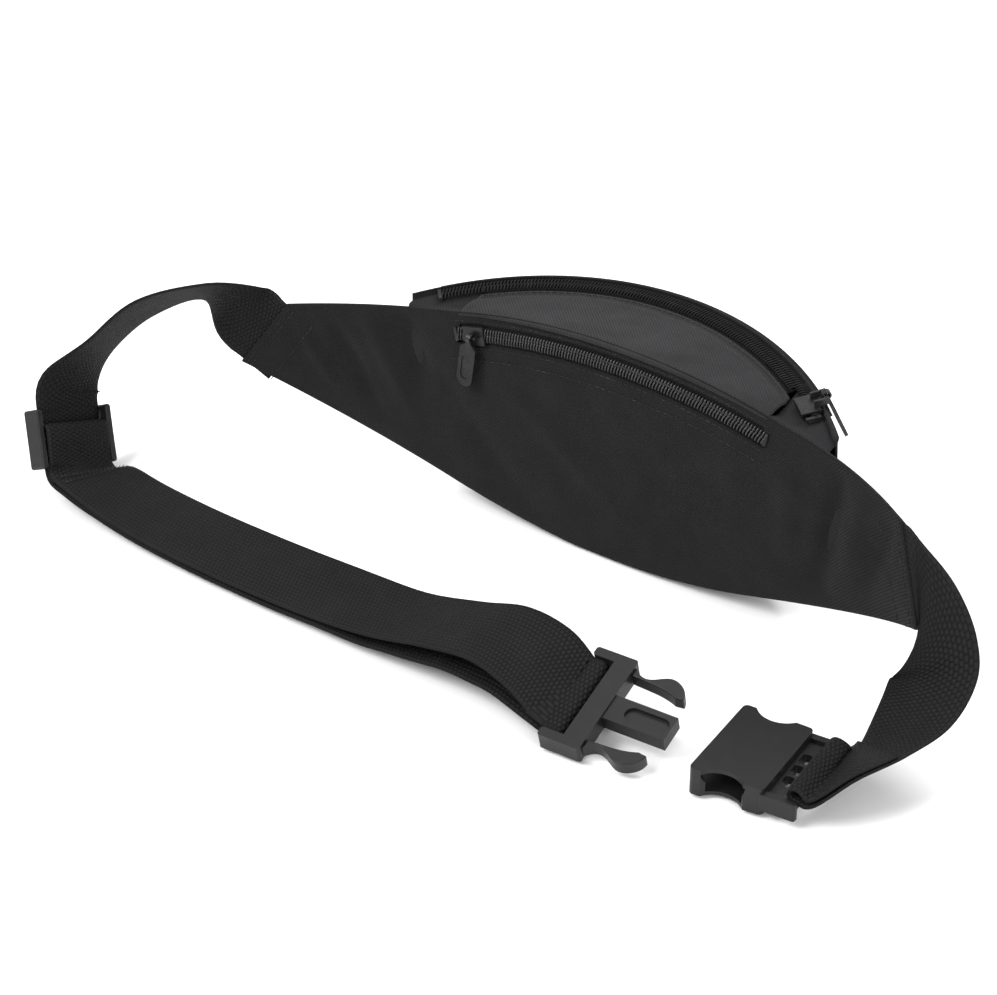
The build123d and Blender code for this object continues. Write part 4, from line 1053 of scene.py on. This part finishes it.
# %% Right belt
female_heading, female_far = Vector((-0.993, -0.118, 0)), Vector((-0.118, 0.993, 0))
tail_bar = Vector((125.5, -116.5, 6.1)) - female_heading * (43.0 - 1.6 - 0.6)
TAIL_LOOP = 1.6 + 0.3 + WEB_THICK / 2
right_end, right_edge, right_leave = wing_end(RIGHT_TOP, RIGHT_LOW, RIGHT_BEND, 1)
right_stations = [
    (*(right_end - right_leave * 13), *right_edge),
    (*(right_end + right_leave * 1), *right_edge),
    (174, -55, 61, -0.15, 0.30, 0.94),
    (181, -60, 53, 0.35, 0.30, 0.88),
    (186, -64, 44, 0.75, 0.20, 0.63),
    (187.5, -67, 36, 0.93, 0.00, 0.37),
    (186.5, -76, 26, 0.92, -0.30, 0.26),
    (183, -92, 17, 0.74, -0.50, 0.45),
    (177, -104, 13, 0.50, -0.78, 0.36),
    (*(tail_bar + Vector((0, 0, TAIL_LOOP)) - female_heading * 7), *(-female_far)),
    (*(tail_bar + Vector((0, 0, TAIL_LOOP))), *(-female_far)),
]
right_run = between(right_stations, STEPS, fanned=True)
under_run = backwards(shifted(right_run[-3 * STEPS:], (WEB_THICK + 0.15, WEB_THICK + 0.6, 2 * TAIL_LOOP)))
right_path = right_run + turn_back(right_run[-1], TAIL_LOOP) + under_run
right_belt = webbing("right_webbing", right_path, belt_webbing)
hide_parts("right_strap", "right_strap_anchor")
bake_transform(right_belt)

# %% [markdown]
# ## Stitching
# Rows of stitches hold the zip, the flap's rim and the strap ends. Each line lies on its cloth.

# %% Stitch lines
def on_back_arc(radius, start, end, steps=70):
    run = []
    for k in range(steps + 1):
        p = back_point(radius, start + (end - start) * k / steps)
        place, face = on_panel(p.x, p.z, 0.05)
        run.append((place, face))
    return run


def on_back_line(a, b, steps=12):
    run = []
    for k in range(steps + 1):
        place, face = on_panel(a[0] + (b[0] - a[0]) * k / steps, a[1] + (b[1] - a[1]) * k / steps, 0.05)
        run.append((place, face))
    return run


def beside_wing_end(low, top, inward):
    """A line inside a wing's end, at a distance from it and 2 mm from both edges."""
    edge = Vector((top[0] - low[0], 0, top[1] - low[1])).normalized()
    side = Vector((-edge.z, 0, edge.x)) * (-1 if low[0] < 0 else 1)
    a = Vector((low[0], 0, low[1])) + edge * 2.0 + side * inward
    b = Vector((top[0], 0, top[1])) - edge * 2.0 + side * inward
    return on_back_line((a.x, a.z), (b.x, b.z))


zip_lines = [on_back_arc(BACK_CHAIN - FOLD - 1.6, 76.9, 103.5),
             on_back_arc(BACK_CHAIN + FOLD + 1.4, 76.9, 103.5),
             on_back_arc(BACK_CHAIN - FOLD - 7.4, 76.0, 104.6)]
box_lines = [beside_wing_end(low, top, inward) for low, top in ((LEFT_LOW, LEFT_TOP), (RIGHT_LOW, RIGHT_TOP))
             for inward in (2.2, 4.4, 15.0)]
row_of("back_stitches", stitch, zip_lines + box_lines, 3.1, sewing_thread, "pack", 0.08)

rim_line = []
for k in range(81):
    x = FLAP_ENDS[0] + 2 + (FLAP_ENDS[1] - FLAP_ENDS[0] - 4) * k / 80
    flat_x = x - RING.x
    reach = sqrt((RIM - 1.5) ** 2 - flat_x ** 2)
    on_rim = Vector((flat_x, reach * cos(RING_TILT), reach * sin(RING_TILT)))
    rim_line.append((RING + on_rim + RING_OFF * 0.45, RING_OFF))
row_of("flap_stitches", stitch, [rim_line], 3.1, sewing_thread, "top_flap", 0.08)

wall_lines = []
for drop in (4.0, 11.0):
    run = []
    for k in range(101):
        angle = 46.0 + 88.0 * k / 100
        top = wall_top(angle)
        outward = Vector((cos(radians(angle)), sin(radians(angle)), 0))
        lift = wall_puckers(angle, top - drop, top) + 0.1
        run.append((wall_place(angle, top - drop) + outward * lift, outward))
    wall_lines.append(run)
row_of("front_stitches", stitch, wall_lines, 3.1, sewing_thread, "pack", 0.08)


# %% Bar tacks
def tack_lines(index):
    """A dense zigzag across the webbing, which locks the folded end."""
    middle, along, width = upper_face[index]
    up = width.cross(along)
    lines = []
    for k in range(34):
        at = -16.8 + 33.6 * k / 33
        lean = along * (0.8 if k % 2 else -0.8)
        centre = middle + width * at + up * (WEB_THICK / 2 + 0.22)
        lines.append([(centre - lean - width * 0.5, up), (centre + lean + width * 0.5, up)])
    return lines


tacks = row_of("bar_tacks", stitch, tack_lines(glide_at + 12) + tack_lines(glide_at + 14), 1.9, sewing_thread,
               "left_belt", 0.1)
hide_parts("left_bar_tacks")

# %% [markdown]
# ## Floor, light and camera
# A plain pale floor and three large soft lights. The camera looks down at the pack from its back.

# %% Stage
def plain_material(name, colour):
    material, tree, shader = start_finish(name, 0.9, specular=0.1)
    shader.inputs["Base Color"].default_value = (*colour, 1)
    return material


floor_mesh = bpy.data.meshes.new("floor")
FLOOR_Z = min(cad_box[0][2], 0.0) - 0.0004
corners = [(x, y, FLOOR_Z) for x, y in ((-4, -4), (4, -4), (4, 4), (-4, 4))]
floor_mesh.from_pydata(corners, [], [(0, 1, 2, 3)])
floor_mesh.materials.append(plain_material("floor", (0.9, 0.9, 0.9)))
floor = bpy.data.objects.new("floor", floor_mesh)
bpy.context.collection.objects.link(floor)


def soft_light(name, place, target, size, power):
    data = bpy.data.lights.new(name, "AREA")
    data.shape, data.size, data.energy = "DISK", size, power
    lamp = bpy.data.objects.new(name, data)
    lamp.location = place
    lamp.rotation_euler = (Vector(target) - Vector(place)).to_track_quat("-Z", "Y").to_euler()
    bpy.context.collection.objects.link(lamp)


soft_light("key", (-0.6, -1.4, 1.5), (0, -0.05, 0.05), 1.0, 34)
soft_light("fill", (1.5, -1.0, 0.9), (0, -0.05, 0.05), 1.2, 16)
soft_light("top", (0.1, 0.7, 1.9), (0, 0, 0.05), 1.2, 26)
world = bpy.data.worlds.new("studio")
bpy.context.scene.world = world
world.use_nodes = True
world.node_tree.nodes["Background"].inputs["Color"].default_value = (1, 1, 1, 1)
world.node_tree.nodes["Background"].inputs["Strength"].default_value = 0.9
bpy.context.scene.view_settings.view_transform = "Standard"

# %% Camera
TARGET, DISTANCE, AZIMUTH, ELEVATION = Vector((-0.0633, -0.0098, 0.0)), 1.0713, radians(38.06), radians(30.0)
back = Vector((sin(AZIMUTH) * cos(ELEVATION), -cos(AZIMUTH) * cos(ELEVATION), sin(ELEVATION)))
lens = bpy.data.cameras.new("camera")
lens.lens, lens.sensor_width = 85.0, 36.0
camera = bpy.data.objects.new("camera", lens)
camera.location = TARGET + back * DISTANCE
camera.rotation_euler = (-back).to_track_quat("-Z", "Y").to_euler()
bpy.context.collection.objects.link(camera)
bpy.context.scene.camera = camera
print("camera at", [round(c, 3) for c in camera.location])
